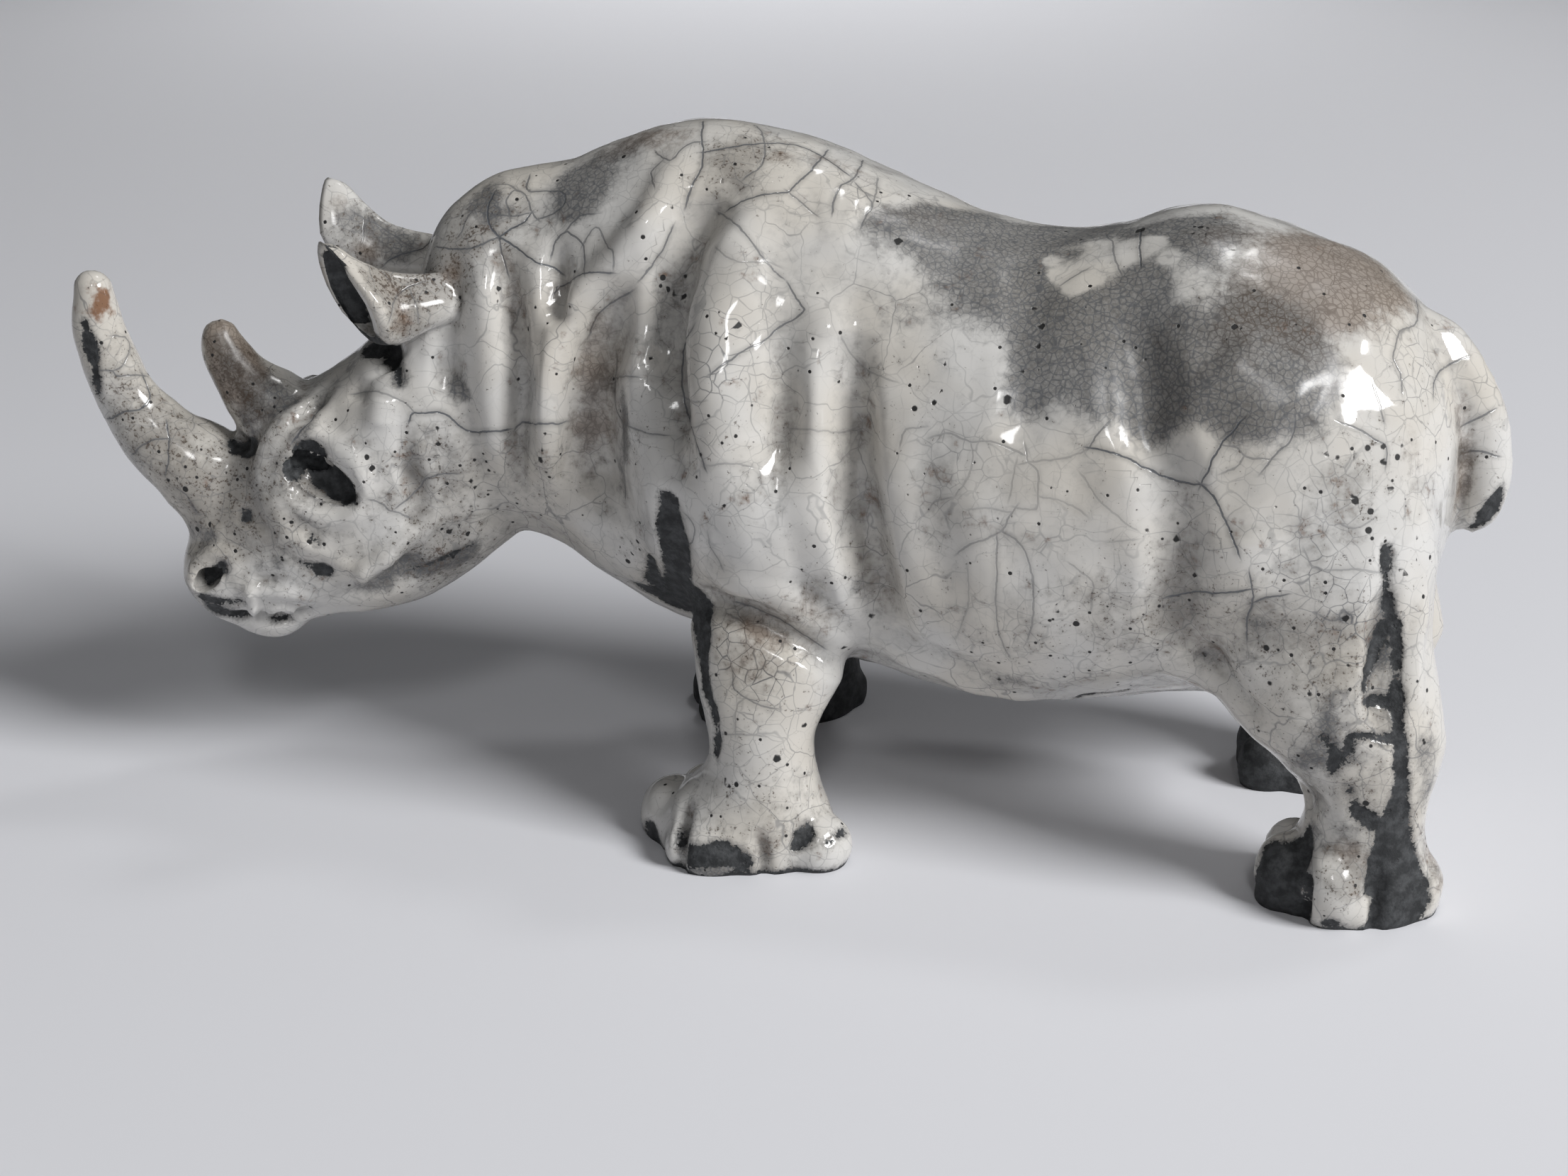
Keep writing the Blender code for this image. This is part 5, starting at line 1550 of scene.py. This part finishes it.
def glaze_colour(make, noises, marks, halo, cracks, holes):
    """The glaze's colour: white to cream, greyed, grimy, stained, smoked and cracked; the grey and the
    grime are partly painted shade, in the hollows and in some patches.
    """
    colour = make.mix(make.ramp(noises.broad, 0.35, 0.65), CLEAN_GLAZE, CREAM_GLAZE)
    # Painted shade: the glaze greys in the skin's hollows and folds, over a random grey mottle.
    grey_mottle_and_fold_shade = make.stretched(
        marks.hollow, 0.35, make.times(make.ramp(noises.cloud, 0.46, 0.72), 0.4)
    )
    grey_mottle_and_fold_shade = make.plus(grey_mottle_and_fold_shade, make.times(make.ramp(noises.grain, 0.42, 0.72), 0.28))
    smoked = make.mix(make.ramp(noises.speck, 0.35, 0.7), SMOKED_GLAZE, VEILED_GLAZE)
    specks = make.plus(
        make.times(noises.speck, 0.6), make.times(noises.grain, 0.4), make.times(marks.dirt_and_shade, 0.085)
    )
    crack_colour = make.mix(marks.stain, CRACK_BLACK, CRACK_BROWN)
    for share, over in (
        (make.most(grey_mottle_and_fold_shade, 0.0), GREY_GLAZE),
        (make.times(marks.soiled, SOILED_AND_SHADED_SHARE), DIRTY_AND_SHADED_GLAZE),
        (make.times(marks.stain, STAINED_SHARE), STAINED_GLAZE),
        (make.times(marks.smoke, SMOKED_SHARE), smoked),
        (make.times(marks.rust, RUSTED_SHARE), RUSTED_GLAZE),
        (make.times(halo, HALO_SHARE), SMOKED_GLAZE),
        (make.times(marks.thin, THIN_SHARE), SMOKED_GLAZE),
        (make.times(make.ramp(specks, 0.62, 0.72), SPECK_SHARE), CRACK_BROWN),
        (make.times(cracks, CRACK_SHARE), crack_colour),
        (holes, PINHOLE_BLACK),
    ):
        colour = make.mix(share, colour, over)
    return colour


def glaze_roughness(make, noises, marks, holes):
    return make.plus(
        make.stretched(noises.cloud, UNEVEN_ROUGHNESS, GLAZE_ROUGHNESS),
        make.times(make.most(marks.smoke, marks.stain), SMOKED_ROUGHNESS),
        make.times(marks.soiled, SOILED_ROUGHNESS),
        make.times(holes, HOLE_ROUGHNESS),
    )


def small_relief(make, place, noises, line, holes):
    """Relief too small for the mesh: waves, cracks and pinholes, and the grit of the bare clay."""
    size, detail, high = WAVES
    height = make.times(make.noise(place, size, detail)[0], high)
    height = make.plus(height, make.times(line, -CRACK_DEPTH), make.times(holes, -HOLE_DEPTH))
    grit = make.stretched(noises.speck, GRIT_HEIGHT, -CLAY_DEPTH)
    height = make.plus(height, make.times(make.ramp(make.mark("bare"), *CLAY_EDGE), grit))
    relief = make.add("ShaderNodeBump")
    relief.inputs["Strength"].default_value = RELIEF_STRENGTH
    relief.inputs["Distance"].default_value = RELIEF_UNIT * MM
    make.feed(relief.inputs["Height"], height)
    return relief.outputs["Normal"]


def crackled_glaze():
    """White glaze, crackled, smoked and pitted, over bare charcoal clay."""
    material = bpy.data.materials.new("Crackled glaze")
    material.use_nodes = True
    surface = material.node_tree.nodes["Principled BSDF"]
    make = Recipe(material)
    place = make.scaled(make.add("ShaderNodeTexCoord").outputs["Object"], 1 / MM)
    noises = shared_noises(make, place)
    marks = spread_marks(make, noises)
    line, halo = hand_cracks(make, place)
    cracks = make.most(line, fine_cracks(make, place, noises, marks))
    holes = pinholes(make, place, noises, marks)

    clay = make.mix(make.ramp(noises.grain, 0.35, 0.7), CLAY_DARK, CLAY_LIGHT)
    glaze = glaze_colour(make, noises, marks, halo, cracks, holes)
    make.feed(surface.inputs["Base Color"], make.mix(marks.bare, glaze, clay))
    gloss = glaze_roughness(make, noises, marks, holes)
    rougher = make.times(marks.bare, make.math("SUBTRACT", CLAY_ROUGHNESS, gloss))
    make.feed(surface.inputs["Roughness"], make.plus(gloss, rougher))
    make.feed(surface.inputs["Normal"], small_relief(make, place, noises, line, holes))
    return material


def pale_floor():
    bpy.ops.mesh.primitive_plane_add(size=FLOOR_SIZE)
    floor = bpy.context.object
    floor.name = "floor"
    paper = bpy.data.materials.new("Pale paper")
    paper.use_nodes = True
    surface = paper.node_tree.nodes["Principled BSDF"]
    surface.inputs["Base Color"].default_value = FLOOR_COLOUR
    surface.inputs["Roughness"].default_value = FLOOR_ROUGHNESS
    surface.inputs["Specular IOR Level"].default_value = FLOOR_SHEEN
    floor.data.materials.append(paper)
    return floor


def area_light(name, aim, azimuth, elevation, distance, size, spread, power):
    """A rectangular light that looks at the aim from a direction in degrees."""
    data = bpy.data.lights.new(name, "AREA")
    data.shape = "RECTANGLE"
    data.size, data.size_y = size
    data.spread = math.radians(spread)
    data.energy = power
    azimuth, elevation = math.radians(azimuth), math.radians(elevation)
    level = math.cos(elevation)
    away = Vector((level * math.cos(azimuth), level * math.sin(azimuth), math.sin(elevation)))
    light = new_object(name, data)
    light.location = Vector(aim) + distance * away
    light.rotation_euler = away.to_track_quat("Z", "Y").to_euler()


def soft_room():
    world = bpy.data.worlds.new("Soft room")
    world.use_nodes = True
    background = world.node_tree.nodes["Background"]
    background.inputs["Color"].default_value = ROOM_COLOUR
    background.inputs["Strength"].default_value = ROOM_STRENGTH
    bpy.context.scene.world = world


def photo_camera():
    data = bpy.data.cameras.new("camera")
    data.sensor_width = SENSOR_WIDTH
    data.lens = LENS
    camera = new_object("camera", data)
    camera.location = CAMERA_PLACE
    camera.rotation_euler = CAMERA_VIEW.to_track_quat("-Z", "Y").to_euler()
    bpy.context.scene.camera = camera


def stage():
    """A pale floor in a dim soft room, the lights, and a camera as in the photograph."""
    floor = pale_floor()
    for light in LIGHTS:
        area_light(*light)
    soft_room()
    photo_camera()
    bpy.context.scene.view_settings.view_transform = "Standard"


def main():
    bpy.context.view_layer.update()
    figure = build_sculpture()
    mark_surface(figure)
    figure.data.shade_smooth()
    figure.data.materials.clear()
    figure.data.materials.append(crackled_glaze())
    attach(figure, "root")
    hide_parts(NODE)
    stage()


main()
